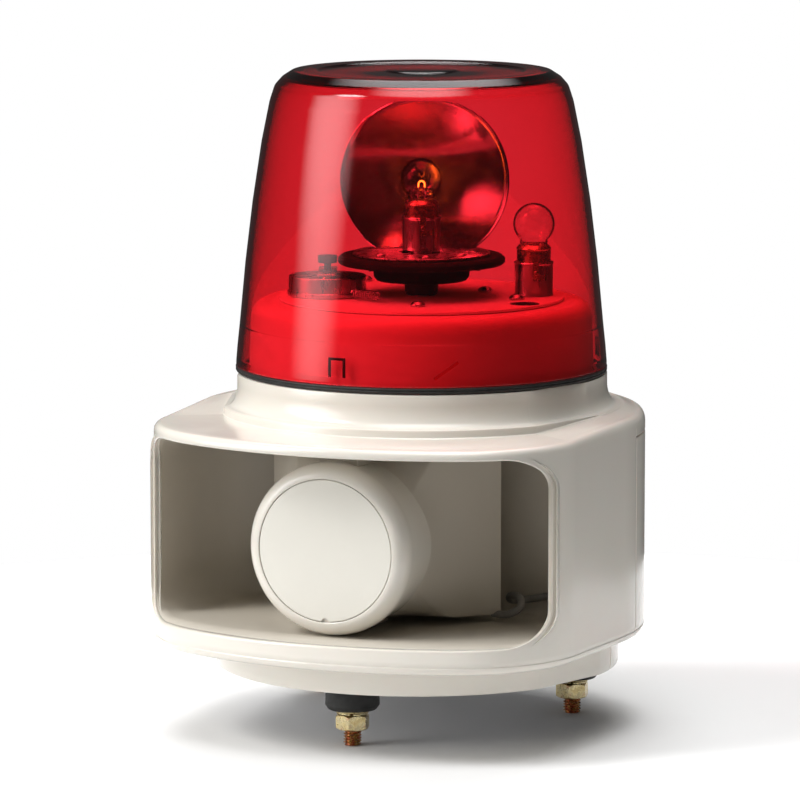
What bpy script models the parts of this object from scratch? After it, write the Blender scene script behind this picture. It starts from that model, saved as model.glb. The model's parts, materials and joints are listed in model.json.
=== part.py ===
"""Revolving warning light with a horn speaker, in metres, +Z up; the horn mouth faces -Y.

The frame's origin is the middle of the three mounting studs, on the panel that the rubber
feet stand on. Every part is modelled from the globe's vertical axis, with heights above
the stud tips, and one empty carries the whole object to its place over the panel.
"""
import math

import bmesh
import bpy
from mathutils import Matrix, Vector

# ---- driving dimensions -------------------------------------------------------------
GAP = 0.0003              # clearance kept between touching pieces

# sides that round pieces get
LARGE = 40
MEDIUM = 28
SMALL = 16
TINY = 12

# heights above the stud tips
PLINTH_BOTTOM = 0.0254
BOX_BOTTOM = 0.0400
DECK_TOP = 0.1350
PARTING_TOP = 0.1280      # the rear cover ends below the deck's rounded rim
SEAL_BOTTOM = 0.1530
SEAL_TOP = 0.1554
CHASSIS_TOP = 0.1840
WHEEL_BOTTOM = 0.1995
TURNTABLE_Z = 0.2034
FILAMENT_Z = 0.2350
GLOBE_TOP = 0.2840

# plan of the housing, measured from the globe's axis
FRONT_BOW_R = 0.160       # bowed front
FRONT_Y = -0.120
BOW_SPLIT_DEG = 22.8      # where the bow hands over to the corner
REAR_R = 0.100            # round back
REAR_CENTRE_Y = -0.0055
FLANK_DEG = 3.4           # the flanks open out towards the back
WALL = 0.003
DECK_WALL = 0.0023
RIM_ROUND = 0.0035
SEAM_Y = 0.004            # parting plane between front housing and rear cover
PLINTH_R = 0.0882
NECK_R = 0.0810
NECK_BORE_R = 0.0762
DRUM_R = 0.0870

# horn
MOUTH_HALF_W = 0.0935
MOUTH_LOW = 0.0492
MOUTH_HIGH = 0.1324
MOUTH_CORNER_R = 0.015
LINER_WALL = 0.0016
LINER_BACK_Y = -0.014
DRIVER_Z = 0.0883
DRIVER_R = 0.0355
CAP_R = 0.0370
CAP_FACE_Y = -0.1030
CAP_DISC_R = 0.0304
DRIVER_BACK_Y = -0.0590

# globe and revolving light
GLOBE_R = 0.0810
GLOBE_WALL = 0.0025
GLOBE_FLAT_R = 0.0565
CHASSIS_R = 0.0740
WHEEL_R = 0.0364
ROLLER_R = 0.0042
MOTOR_R = 0.0175
TURNTABLE_R = 0.0300
POST_R = 0.0045
DISH_R = 0.0373
DISH_FOCUS = 0.0240
DISH_WALL = 0.0012
DISH_FACING_DEG = 16.0    # where the mirror looks at rest, from -Y towards +X
MOTOR_BEARING_DEG = 203.5
SPARE_BEARING_DEG = 23.5
SPARE_RADIUS = 0.0489

# mounting studs
STUD_CIRCLE_R = 0.0690
STUD_BEARINGS_DEG = (-90.0, 30.0, 150.0)
STUD_R = 0.0040
FOOT_R = 0.0117
FOOT_BOTTOM = 0.0157
NUT_FLATS = 0.013
NUT_LOW = 0.0070
NUT_HIGH = 0.0134

# place of the globe's axis and of the stud tips, from the middle of the studs on the panel
AXIS_Y = -REAR_CENTRE_Y
TIPS_Z = -FOOT_BOTTOM


# ---- scene --------------------------------------------------------------------------
for old in list(bpy.data.objects):
    bpy.data.objects.remove(old, do_unlink=True)

PARTS = bpy.data.collections.new("alarm_siren")
CUTTERS = bpy.data.collections.new("cutters")
bpy.context.scene.collection.children.link(PARTS)
bpy.context.scene.collection.children.link(CUTTERS)

AXIS = bpy.data.objects.new("globe_axis", None)
AXIS.location = (0.0, AXIS_Y, TIPS_Z)
PARTS.objects.link(AXIS)

COLOURS = {
    "ivory": ((0.84, 0.82, 0.75), 0.30, 0.0),
    "liner": ((0.72, 0.69, 0.62), 0.45, 0.0),
    "red_lens": ((0.75, 0.02, 0.03), 0.10, 0.0),
    "rubber": ((0.02, 0.02, 0.02), 0.70, 0.0),
    "black_plastic": ((0.03, 0.03, 0.03), 0.45, 0.0),
    "zinc": ((0.74, 0.62, 0.34), 0.35, 1.0),
    "steel": ((0.66, 0.66, 0.67), 0.30, 1.0),
    "mirror": ((0.92, 0.92, 0.93), 0.05, 1.0),
    "brass": ((0.78, 0.66, 0.40), 0.28, 1.0),
    "glass": ((0.95, 0.95, 0.95), 0.05, 0.0),
    "glow": ((1.00, 0.75, 0.20), 0.50, 0.0),
    "chassis": ((0.80, 0.78, 0.74), 0.50, 0.0),
    "board": ((0.05, 0.25, 0.12), 0.50, 0.0),
    "cable": ((0.35, 0.35, 0.34), 0.60, 0.0),
    "cone": ((0.10, 0.09, 0.08), 0.80, 0.0),
    "ferrite": ((0.12, 0.12, 0.13), 0.60, 0.0),
}


def material(slot):
    found = bpy.data.materials.get(slot)
    if found:
        return found
    colour, roughness, metallic = COLOURS[slot]
    made = bpy.data.materials.new(slot)
    made.use_nodes = True
    shader = made.node_tree.nodes["Principled BSDF"]
    shader.inputs["Base Color"].default_value = (*colour, 1.0)
    shader.inputs["Roughness"].default_value = roughness
    shader.inputs["Metallic"].default_value = metallic
    return made


# ---- making shapes ------------------------------------------------------------------
def place(name, mesh, slot, location=(0, 0, 0), rotation=(0, 0, 0)):
    """Puts a mesh into the object; a slot of None makes it a cutter."""
    made = bpy.data.objects.new(name, mesh)
    made.parent = AXIS
    made.location = location
    made.rotation_euler = rotation
    if slot is None:
        CUTTERS.objects.link(made)
        made.display_type = "WIRE"
        made.hide_render = True
    else:
        PARTS.objects.link(made)
        mesh.materials.append(material(slot))
    return made


def mesh_from(work, name):
    mesh = bpy.data.meshes.new(name)
    bmesh.ops.recalc_face_normals(work, faces=work.faces)
    work.to_mesh(mesh)
    work.free()
    return mesh


def turned(name, profile, slot, steps=MEDIUM, closed=False, location=(0, 0, 0), rotation=(0, 0, 0)):
    """A profile of (radius, height) points turned about local Z."""
    points = [(radius, 0.0, height) for radius, height in profile]
    edges = [(i, i + 1) for i in range(len(points) - 1)]
    if closed:
        edges.append((len(points) - 1, 0))
    mesh = bpy.data.meshes.new(name)
    mesh.from_pydata(points, edges, [])
    made = place(name, mesh, slot, location, rotation)
    screw = made.modifiers.new("turn", "SCREW")
    screw.axis = "Z"
    screw.angle = 2 * math.pi
    screw.steps = steps
    screw.render_steps = steps
    screw.use_merge_vertices = True
    screw.merge_threshold = 0.00001
    screw.use_smooth_shade = True
    return made


def drum(name, radius, low, high, slot, steps=SMALL, bore=0.0, edge=0.0, location=(0, 0, 0),
         rotation=(0, 0, 0)):
    """A plain round piece, or a ring where it has a bore, with its outer edges chamfered."""
    if bore:
        profile = [(radius - edge, high), (radius, high - edge), (radius, low + edge),
                   (radius - edge, low), (bore, low), (bore, high)]
    else:
        profile = [(0, high), (radius - edge, high), (radius, high - edge),
                   (radius, low + edge), (radius - edge, low), (0, low)]
    if not edge:
        profile = [point for i, point in enumerate(profile) if i == 0 or point != profile[i - 1]]
    return turned(name, profile, slot, steps, bool(bore), location, rotation)


def slab(name, size, centre, slot, bevel=0.0, rotation=(0, 0, 0)):
    work = bmesh.new()
    bmesh.ops.create_cube(work, size=1.0, matrix=Matrix.Diagonal((*size, 1.0)))
    made = place(name, mesh_from(work, name), slot, centre, rotation)
    if bevel:
        soften(made, bevel)
    return made


def soften(made, width, segments=1, degrees=40.0):
    bevel = made.modifiers.new("soften", "BEVEL")
    bevel.width = width
    bevel.segments = segments
    bevel.limit_method = "ANGLE"
    bevel.angle_limit = math.radians(degrees)
    return made


def prism(name, outline, low, high, slot):
    """A flat outline, given as (x, y) points, with a thickness from low to high."""
    curve = bpy.data.curves.new(name, "CURVE")
    curve.dimensions = "2D"
    curve.fill_mode = "BOTH"
    curve.extrude = (high - low) / 2
    spline = curve.splines.new("POLY")
    spline.points.add(len(outline) - 1)
    for point, (x, y) in zip(spline.points, outline):
        point.co = (x, y, 0.0, 1.0)
    spline.use_cyclic_u = True
    return solid_from_curve(name, curve, slot, (0, 0, (low + high) / 2))


def tube(name, path, radius, slot, resolution=2):
    curve = bpy.data.curves.new(name, "CURVE")
    curve.dimensions = "3D"
    curve.bevel_depth = radius
    curve.bevel_resolution = resolution
    curve.use_fill_caps = True
    spline = curve.splines.new("POLY")
    spline.points.add(len(path) - 1)
    for point, where in zip(spline.points, path):
        point.co = (*where, 1.0)
    return solid_from_curve(name, curve, slot, (0, 0, 0))


def solid_from_curve(name, curve, slot, location):
    """Turns a curve into a welded mesh, so that it can be cut and joined."""
    guide = bpy.data.objects.new(name + "_curve", curve)
    CUTTERS.objects.link(guide)
    bpy.context.view_layer.update()
    seen = guide.evaluated_get(bpy.context.evaluated_depsgraph_get())
    mesh = bpy.data.meshes.new_from_object(seen)
    bpy.data.objects.remove(guide, do_unlink=True)
    work = bmesh.new()
    work.from_mesh(mesh)
    bmesh.ops.remove_doubles(work, verts=work.verts, dist=0.000001)
    bmesh.ops.recalc_face_normals(work, faces=work.faces)
    work.to_mesh(mesh)
    work.free()
    mesh.name = name
    mesh.materials.clear()
    return place(name, mesh, slot, location)


def combine(target, tool, operation):
    """Cuts, joins or trims the target with the tool, which stays in the cutters."""
    step = target.modifiers.new(tool.name, "BOOLEAN")
    step.operation = operation
    step.solver = "EXACT"
    step.object = tool
    return target


def cut(target, tool):
    return combine(target, tool, "DIFFERENCE")


def join(target, tool):
    return combine(target, tool, "UNION")


def trim(target, tool):
    return combine(target, tool, "INTERSECT")


def arc(centre, radius, start_deg, end_deg, steps):
    """Points on an arc, its ends included; angles run from +X towards +Y."""
    points = []
    for i in range(steps + 1):
        angle = math.radians(start_deg + (end_deg - start_deg) * i / steps)
        points.append((centre[0] + radius * math.cos(angle), centre[1] + radius * math.sin(angle)))
    return points


def polar(radius, bearing_deg, height=0.0):
    angle = math.radians(bearing_deg)
    return (radius * math.cos(angle), radius * math.sin(angle), height)


# ---- housing ------------------------------------------------------------------------
def plan(inset):
    """The housing's outline, moved inwards by inset: bow, corner, flank and round back."""
    bow_centre_y = FRONT_Y + FRONT_BOW_R
    split = math.radians(BOW_SPLIT_DEG)
    flank = math.radians(FLANK_DEG)
    start_x = FRONT_BOW_R * math.sin(split)
    start_y = bow_centre_y - FRONT_BOW_R * math.cos(split)
    tangent = (REAR_R * math.cos(flank), REAR_CENTRE_Y - REAR_R * math.sin(flank))
    # the corner's radius, so that it meets both the bow and the flank without a kink
    along = (start_x - tangent[0]) * math.cos(flank) - (start_y - tangent[1]) * math.sin(flank)
    corner_r = -along / (math.cos(flank) - math.sin(split) * math.cos(flank)
                         - math.cos(split) * math.sin(flank))
    corner = (start_x - corner_r * math.sin(split), start_y + corner_r * math.cos(split))
    right = arc((0, bow_centre_y), FRONT_BOW_R - inset, -90, -90 + BOW_SPLIT_DEG, 4)
    right += arc(corner, corner_r - inset, -90 + BOW_SPLIT_DEG, -FLANK_DEG, 6)[1:]
    right += arc((0, REAR_CENTRE_Y), REAR_R - inset, -FLANK_DEG, 90, 10)
    left = [(-x, y) for x, y in reversed(right[1:-1])]
    return right + left


def outer_body(name, slot):
    """Box with its rounded rim, and the round plinth under it."""
    body = prism(name, plan(0.0), BOX_BOTTOM, DECK_TOP, slot)
    soften(body, RIM_ROUND, 2)
    plinth = drum(name + "_plinth", PLINTH_R, PLINTH_BOTTOM, BOX_BOTTOM + WALL / 2, None, LARGE,
                  edge=0.001, location=(0, REAR_CENTRE_Y, 0))
    return join(body, plinth)


def hollow(body):
    """Takes out the inside of the box and of the plinth."""
    cut(body, prism(body.name + "_cavity", plan(WALL), BOX_BOTTOM + WALL, DECK_TOP - DECK_WALL, None))
    bore = drum(body.name + "_plinth_bore", PLINTH_R - WALL, PLINTH_BOTTOM - 0.01, BOX_BOTTOM + 1.5 * WALL,
                None, LARGE, location=(0, REAR_CENTRE_Y, 0))
    return cut(body, bore)


def mouth_section(half_w, low, high, corner_r):
    """Rounded rectangle in x and z, the same number of points for every size."""
    across = half_w - corner_r
    points = []
    for centre, start in (((across, high - corner_r), 0), ((-across, high - corner_r), 90),
                          ((-across, low + corner_r), 180), ((across, low + corner_r), 270)):
        points += arc(centre, corner_r, start, start + 90, 3)
    return points


def loft(name, sections, slot):
    """Skins a list of (y, outline in x and z) sections from front to back."""
    work = bmesh.new()
    rings = [[work.verts.new((x, y, z)) for x, z in outline] for y, outline in sections]
    for front, back in zip(rings, rings[1:]):
        for i in range(len(front)):
            j = (i + 1) % len(front)
            work.faces.new((front[i], front[j], back[j], back[i]))
    work.faces.new(rings[0])
    work.faces.new(list(reversed(rings[-1])))
    return place(name, mesh_from(work, name), slot)


def front_housing():
    body = outer_body("front_housing", "ivory")
    deck = DECK_TOP - DECK_WALL / 2
    neck_profile = [(0, SEAL_BOTTOM - GAP), (NECK_R, SEAL_BOTTOM - GAP), (NECK_R, 0.1460),
                    (NECK_R + 0.0015, 0.1415), (DRUM_R - 0.0006, 0.1385), (DRUM_R, 0.1378),
                    (DRUM_R, deck), (0, deck)]
    join(body, turned("neck", neck_profile, None, LARGE))
    hollow(body)
    cut(body, drum("neck_bore", NECK_BORE_R, deck - 0.01, SEAL_BOTTOM + 0.01, None, LARGE))
    opening = mouth_section(MOUTH_HALF_W, MOUTH_LOW, MOUTH_HIGH, MOUTH_CORNER_R)
    mouth = loft("mouth", [(FRONT_Y - 0.02, opening), (-0.060, opening)], None)
    cut(body, mouth)
    behind = slab("behind_seam", (0.3, 0.2, PARTING_TOP), (0, SEAM_Y + 0.1, PARTING_TOP / 2), None)
    return cut(body, behind)


def rear_cover():
    cover = outer_body("rear_cover", "ivory")
    half = slab("cover_half", (0.3, 0.2, PARTING_TOP), (0, SEAM_Y + GAP + 0.1, PARTING_TOP / 2 - GAP), None)
    trim(cover, half)
    return hollow(cover)


def cover_screws():
    """Two pan-head screws that hold the rear cover, on its round back."""
    for i, bearing in enumerate((60.0, 120.0)):
        angle = math.radians(bearing)
        reach = REAR_R + 0.0003
        where = (reach * math.cos(angle), REAR_CENTRE_Y + reach * math.sin(angle), 0.0560)
        screw = turned(f"cover_screw_{i + 1}", [(0, 0.0019), (0.0020, 0.0017), (0.0034, 0.0006),
                                                (0.0034, 0.0), (0, 0.0)], "steel", TINY)
        screw.location = where
        screw.rotation_euler = (-math.pi / 2, 0, angle - math.pi / 2)


def base_plate():
    plate = drum("base_plate", PLINTH_R - WALL - GAP, PLINTH_BOTTOM + 0.001, PLINTH_BOTTOM + 0.003,
                 "steel", LARGE, location=(0, REAR_CENTRE_Y, 0))
    for i, bearing in enumerate(STUD_BEARINGS_DEG):
        x, y, z = polar(STUD_CIRCLE_R, bearing)
        cut(plate, drum(f"stud_hole_{i + 1}", STUD_R + GAP, 0.02, 0.035, None, SMALL,
                        location=(x, REAR_CENTRE_Y + y, 0), rotation=(0, 0, math.radians(5.0))))
    cut(plate, drum("cable_hole", 0.0083, 0.02, 0.035, None, SMALL, location=(0.0, 0.040, 0)))
    low = PLINTH_BOTTOM - 0.0015
    turned("cable_grommet", [(0.0110, low + 0.0022), (0.0110, low), (0.0050, low), (0.0050, low + 0.0070),
                             (0.0110, low + 0.0070), (0.0110, low + 0.0048), (0.0080, low + 0.0048),
                             (0.0080, low + 0.0022)], "rubber", SMALL, True, location=(0.0, 0.040, 0))


def mounting_studs():
    plate_top = PLINTH_BOTTOM + 0.003
    foot_top = PLINTH_BOTTOM + 0.001 - GAP
    hex_r = NUT_FLATS / math.sqrt(3)
    for i, bearing in enumerate(STUD_BEARINGS_DEG):
        x, y, z = polar(STUD_CIRCLE_R, bearing)
        where = (x, REAR_CENTRE_Y + y, 0.0)
        head = plate_top + GAP
        turned(f"stud_{i + 1}", [(0, head + 0.0050), (0.0066, head + 0.0050), (0.0074, head + 0.0042),
                                 (0.0074, head), (STUD_R, head), (STUD_R, 0.0008), (0.0033, 0.0), (0, 0.0)],
               "zinc", TINY, location=where)
        # an outer lip on the underside meets the panel; the washer sits inside the lip
        turned(f"rubber_foot_{i + 1}", [(FOOT_R, foot_top), (FOOT_R, FOOT_BOTTOM + 0.0004),
                                        (FOOT_R - 0.0004, FOOT_BOTTOM), (0.0090, FOOT_BOTTOM),
                                        (0.0090, FOOT_BOTTOM + 0.0006),
                                        (STUD_R + GAP, FOOT_BOTTOM + 0.0006), (STUD_R + GAP, foot_top)],
               "rubber", SMALL, True, location=where)
        drum(f"flat_washer_{i + 1}", 0.0080, FOOT_BOTTOM - 0.0008, FOOT_BOTTOM + 0.0003, "zinc", SMALL,
             bore=STUD_R + GAP, location=where)
        drum(f"spring_washer_{i + 1}", 0.0069, NUT_HIGH + GAP, FOOT_BOTTOM - 0.0011, "zinc", TINY,
             bore=STUD_R + GAP, location=where)
        nut = drum(f"nut_{i + 1}", hex_r, NUT_LOW, NUT_HIGH, "zinc", 6, edge=0.0005, location=where,
                   rotation=(0, 0, math.radians(12.0)))
        cut(nut, drum(f"nut_bore_{i + 1}", STUD_R + GAP, 0.0, 0.02, None, TINY, location=where))


# ---- horn ---------------------------------------------------------------------------
def horn_liner():
    """The tray-shaped mouth cavity, trimmed to the bow of the front."""
    outer_w = MOUTH_HALF_W - GAP
    inner_w = outer_w - LINER_WALL
    low = MOUTH_LOW + GAP
    high = MOUTH_HIGH - GAP
    outer = [(FRONT_Y - 0.01, mouth_section(outer_w, low, high, 0.0147)),
             (-0.050, mouth_section(outer_w, low, high, 0.0147)),
             (-0.030, mouth_section(0.084, low, high, 0.0147)),
             (LINER_BACK_Y, mouth_section(0.064, low, high, 0.0147))]
    inner = [(FRONT_Y - 0.02, mouth_section(inner_w, low + LINER_WALL, high - LINER_WALL, 0.0131)),
             (-0.050, mouth_section(inner_w, low + LINER_WALL, high - LINER_WALL, 0.0131)),
             (-0.0307, mouth_section(0.0822, low + LINER_WALL, high - LINER_WALL, 0.0131)),
             (LINER_BACK_Y - 0.0018, mouth_section(0.0625, low + LINER_WALL, high - LINER_WALL, 0.0131))]
    liner = loft("horn_liner", outer, "liner")
    trim(liner, prism("liner_front", plan(0.0008), MOUTH_LOW - 0.02, MOUTH_HIGH + 0.02, None))
    cut(liner, loft("liner_cavity", inner, None))
    cut(liner, drum("lead_hole", 0.0031, -0.02, 0.02, None, 16, location=(0.0730, -0.0225, 0.0610),
                    rotation=(math.pi / 2, 0, 0)))
    return liner


def horn_core():
    """Block behind the driver, with webs above and below it, and the throat through it."""
    low = MOUTH_LOW + 2 * GAP + LINER_WALL
    high = MOUTH_HIGH - 2 * GAP - LINER_WALL
    back = -0.0320
    outline = [(-0.0370, DRIVER_BACK_Y + GAP), (0.0370, DRIVER_BACK_Y + GAP), (0.0540, -0.0380),
               (0.0540, back), (-0.0540, back), (-0.0540, -0.0380)]
    core = prism("horn_core", outline, low, high, "liner")
    join(core, slab("driver_web", (0.018, 0.032, high - low), (0, -0.0735, (low + high) / 2), None))
    cut(core, drum("driver_space", DRIVER_R + GAP, -DRIVER_BACK_Y - GAP / 2, 0.1, None, MEDIUM,
                   location=(0, 0, DRIVER_Z), rotation=(math.pi / 2, 0, 0)))
    cut(core, drum("throat", 0.0090, 0.02, 0.08, None, SMALL, location=(0, 0, DRIVER_Z),
                   rotation=(math.pi / 2, 0, 0)))
    return core


def driver():
    """Horn driver: can, front cap with its disc, magnet and diaphragm."""
    face = -CAP_FACE_Y
    back = -DRIVER_BACK_Y
    lie = {"location": (0, 0, DRIVER_Z), "rotation": (math.pi / 2, 0, 0)}
    cap_back = face - 0.0100
    turned("driver_housing", [(DRIVER_R - 0.0005, cap_back - GAP), (DRIVER_R, cap_back - 0.0008),
                              (DRIVER_R, back), (0.0085, back), (0.0085, back + 0.0025),
                              (DRIVER_R - 0.0025, back + 0.0025), (DRIVER_R - 0.0025, cap_back - GAP)],
           "ivory", MEDIUM, True, **lie)
    turned("driver_cap", [(0, face - 0.0012), (CAP_DISC_R + GAP, face - 0.0012), (CAP_DISC_R + GAP, face),
                          (CAP_R - 0.0030, face), (CAP_R - 0.0009, face - 0.0009), (CAP_R, face - 0.0030),
                          (CAP_R, cap_back), (CAP_R - 0.0025, cap_back), (CAP_R - 0.0025, face - 0.0032),
                          (0, face - 0.0032)], "ivory", MEDIUM, **lie)
    drum("cap_disc", CAP_DISC_R, face - 0.0009, face + 0.0001, "ivory", MEDIUM, **lie)
    turned("driver_magnet", [(0, face - 0.0130), (0.0270, face - 0.0130), (0.0270, face - 0.0290),
                             (0, face - 0.0290)], "ferrite", SMALL, **lie)
    turned("driver_diaphragm", [(0, back + 0.0130), (0.0120, back + 0.0120), (0.0230, back + 0.0080),
                                (0.0310, back + 0.0070), (0.0310, back + 0.0060), (0.0230, back + 0.0065),
                                (0.0120, back + 0.0105), (0, back + 0.0115)], "cone", SMALL, **lie)
    lead = [(0.0560, -0.0350, 0.0570), (0.0590, -0.0345, 0.0575), (0.0620, -0.0335, 0.0584),
            (0.0650, -0.0320, 0.0594), (0.0680, -0.0295, 0.0603), (0.0705, -0.0268, 0.0608),
            (0.0722, -0.0240, 0.0610), (0.0730, -0.0205, 0.0610), (0.0730, -0.0130, 0.0610)]
    tube("driver_lead", lead, 0.0016, "cable")


# ---- light --------------------------------------------------------------------------
def globe_profile():
    """Outer side from the crown down to the foot, then the inner side back up."""
    foot = SEAL_TOP + GAP
    top = GLOBE_TOP
    wall = GLOBE_WALL
    outer = [(0, top), (GLOBE_FLAT_R * 0.6, top - 0.0006), (GLOBE_FLAT_R, top - 0.0018),
             (GLOBE_FLAT_R + 0.0040, top - 0.0032), (GLOBE_FLAT_R + 0.0072, top - 0.0068), (0.0659, 0.2705),
             (0.0694, 0.2531), (0.0734, 0.2270), (0.0766, 0.2007), (0.0791, 0.1744),
             (GLOBE_R - 0.0001, foot)]
    inner = [(GLOBE_R - wall, foot), (0.0791 - wall, 0.1744), (0.0734 - wall, 0.2270),
             (0.0659 - wall, 0.2700),
             (GLOBE_FLAT_R + 0.0020, top - wall - 0.0035), (GLOBE_FLAT_R - 0.0030, top - wall - 0.0018),
             (0, top - wall)]
    return outer + inner


def seal_and_globe():
    drum("seal_ring", GLOBE_R + 0.0002, SEAL_BOTTOM, SEAL_TOP, "rubber", LARGE, bore=0.0775)
    turned("globe", globe_profile(), "red_lens", LARGE)


def chassis():
    top = CHASSIS_TOP
    turned("chassis_drum", [(POST_R + 0.0015, top), (CHASSIS_R - 0.0060, top), (CHASSIS_R - 0.0020, top - 0.0020),
                            (CHASSIS_R, top - 0.0065), (CHASSIS_R + 0.0008, SEAL_TOP),
                            (CHASSIS_R + 0.0015, 0.1400),
                            (CHASSIS_R - 0.0010, 0.1400), (CHASSIS_R - 0.0025, top - 0.0065),
                            (CHASSIS_R - 0.0060, top - 0.0025), (POST_R + 0.0015, top - 0.0025)],
           "chassis", LARGE, True)
    plate_low = top + GAP
    plate_high = plate_low + 0.0012
    plate = drum("chassis_plate", 0.0620, plate_low, plate_high, "steel", MEDIUM, bore=POST_R + 0.0015)
    cut(plate, drum("wire_hole", 0.0060, top - 0.01, top + 0.01, None, TINY, location=polar(0.0540, -12.0)))
    for i, (radius, bearing) in enumerate(((0.0410, -69.0), (0.0300, 45.0), (0.0440, 2.0), (0.0560, 140.0))):
        turned(f"chassis_screw_{i + 1}", [(0, 0.0020), (0.0020, 0.0018), (0.0032, 0.0008), (0.0032, 0.0),
                                          (0, 0.0)], "steel", TINY,
               location=polar(radius, bearing, plate_high + GAP))
    drum("lamp_post", POST_R, 0.1700, TURNTABLE_Z + 0.0018, "steel", SMALL)
    return plate_high


def lamp(centre, seat, prefix, socket):
    """A bayonet lamp standing in its socket: cap, glass and, in the lit one, a filament."""
    x, y = centre
    where = (x, y, 0)
    drum(socket, 0.0083, seat, seat + 0.0145, "steel", SMALL + 4, bore=0.0078, location=where)
    base_low = seat + 0.0040
    base_high = seat + 0.0220
    drum(prefix + "_base", 0.0074, base_low, base_high, "brass", SMALL, edge=0.0006, location=where)
    centre_z = base_high + 0.0088
    glass_r = 0.0091
    wall = 0.0008
    low = base_high + GAP
    start = -math.degrees(math.acos(0.0060 / glass_r))
    outer = [(r, centre_z + z) for r, z in reversed(arc((0, 0), glass_r, start, 90, 5))]
    inner = [(r, centre_z + z) for r, z in arc((0, 0), glass_r - wall, start, 90, 4)]
    outer[0] = (0, outer[0][1])
    inner[-1] = (0, inner[-1][1])
    turned(prefix + "_glass", outer + [(0.0060, low), (0.0052, low)] + inner, "glass", SMALL, location=where)
    return base_high, centre_z


def lamps(plate_high):
    base_high, centre_z = lamp((0, 0), TURNTABLE_Z + 0.0020, "bulb", "bulb_socket")
    rise = FILAMENT_Z - base_high
    loop = [(-0.0022, 0, 0), (-0.0020, 0, rise * 0.80), (-0.0010, 0, rise * 0.97), (0, 0, rise),
            (0.0010, 0, rise * 0.97), (0.0020, 0, rise * 0.80), (0.0022, 0, 0)]
    turn = Matrix.Rotation(math.radians(20.0), 3, "Z")
    path = [turn @ Vector(point) + Vector((0, 0, base_high + GAP)) for point in loop]
    tube("bulb_filament", path, 0.0003, "glow")
    x, y, z = polar(SPARE_RADIUS, SPARE_BEARING_DEG)
    lamp((x, y), plate_high + GAP, "spare_bulb", "spare_bulb_holder")


def rotor():
    """Everything that turns about the lamp: wheel, hub, turntable, mirror and its bracket."""
    bore = POST_R + GAP
    low = CHASSIS_TOP + 0.0020
    turned("rotor_hub", [(0.0074, WHEEL_BOTTOM - 0.0080), (0.0074, low), (bore, low), (bore, TURNTABLE_Z - GAP),
                         (0.0110, TURNTABLE_Z - GAP), (0.0110, WHEEL_BOTTOM - 0.0050),
                         (0.0100, WHEEL_BOTTOM - 0.0060)], "black_plastic", SMALL + 4, True)
    turned("drive_wheel", [(0.0190, WHEEL_BOTTOM), (0.0190, WHEEL_BOTTOM - 0.0045),
                           (0.0115, WHEEL_BOTTOM - 0.0045),
                           (0.0115, TURNTABLE_Z - GAP), (WHEEL_R - 0.0004, TURNTABLE_Z - GAP),
                           (WHEEL_R, TURNTABLE_Z - GAP - 0.0004), (WHEEL_R, WHEEL_BOTTOM + 0.0004),
                           (WHEEL_R - 0.0004, WHEEL_BOTTOM)], "rubber", LARGE, True)
    drum("turntable", TURNTABLE_R, TURNTABLE_Z, TURNTABLE_Z + 0.0010, "steel", MEDIUM, bore=0.0095)

    facing = math.radians(DISH_FACING_DEG)
    steps = 5
    front = [(DISH_R * i / steps, (DISH_R * i / steps) ** 2 / (4 * DISH_FOCUS)) for i in range(steps + 1)]
    back = [(radius, height - DISH_WALL) for radius, height in front]
    dish = turned("reflector", list(front) + list(reversed(back)), "mirror", MEDIUM,
                  location=(-DISH_FOCUS * math.sin(facing), DISH_FOCUS * math.cos(facing), FILAMENT_Z),
                  rotation=(math.pi / 2, 0, facing))
    floor = TURNTABLE_Z + 0.0010 + GAP
    cut(dish, slab("below_dish", (0.12, 0.12, 0.04), (0, 0, floor - 0.02), None))
    strip = 0.0012
    lean = DISH_FOCUS + DISH_WALL + GAP
    work = bmesh.new()
    upright = Matrix.Translation((0, lean + strip / 2, floor + 0.0165)) @ Matrix.Diagonal((0.010, strip, 0.033, 1.0))
    bmesh.ops.create_cube(work, size=1.0, matrix=upright)
    bracket = place("reflector_bracket", mesh_from(work, "reflector_bracket"), "steel",
                    rotation=(0, 0, facing))
    foot = slab("bracket_foot", (0.010, 0.0045, strip), (0, 0, 0), None)
    reach = lean - 0.0010
    foot.location = (-reach * math.sin(facing), reach * math.cos(facing), floor + strip / 2)
    foot.rotation_euler = (0, 0, facing)
    join(bracket, foot)
    return bracket


def motor(plate_high):
    centre = polar(WHEEL_R + ROLLER_R + GAP, MOTOR_BEARING_DEG)
    low = plate_high + GAP
    high = 0.1950
    turned("motor_can", [(0, low + 0.0030), (0.0022, low + 0.0030), (0.0022, high), (MOTOR_R - 0.0008, high),
                         (MOTOR_R, high - 0.0008), (MOTOR_R, low), (0, low)], "steel", MEDIUM, location=centre)
    turned("motor_roller", [(0, TURNTABLE_Z - GAP), (ROLLER_R - 0.0003, TURNTABLE_Z - GAP),
                            (ROLLER_R, TURNTABLE_Z - 0.0006), (ROLLER_R, WHEEL_BOTTOM + 0.0002),
                            (0.0015, WHEEL_BOTTOM + 0.0002), (0.0015, low + 0.0040), (0, low + 0.0040)],
           "rubber", SMALL, location=centre)
    x, y, z = polar(WHEEL_R + ROLLER_R + GAP, MOTOR_BEARING_DEG, high + GAP + 0.0005)
    bracket = slab("motor_bracket", (0.030, 0.0080, 0.0010), (x, y, z), "steel",
                   rotation=(0, 0, math.radians(MOTOR_BEARING_DEG + 90)))
    cut(bracket, drum("bracket_hole", 0.0026, 0.18, 0.22, None, TINY, location=centre))


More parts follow.
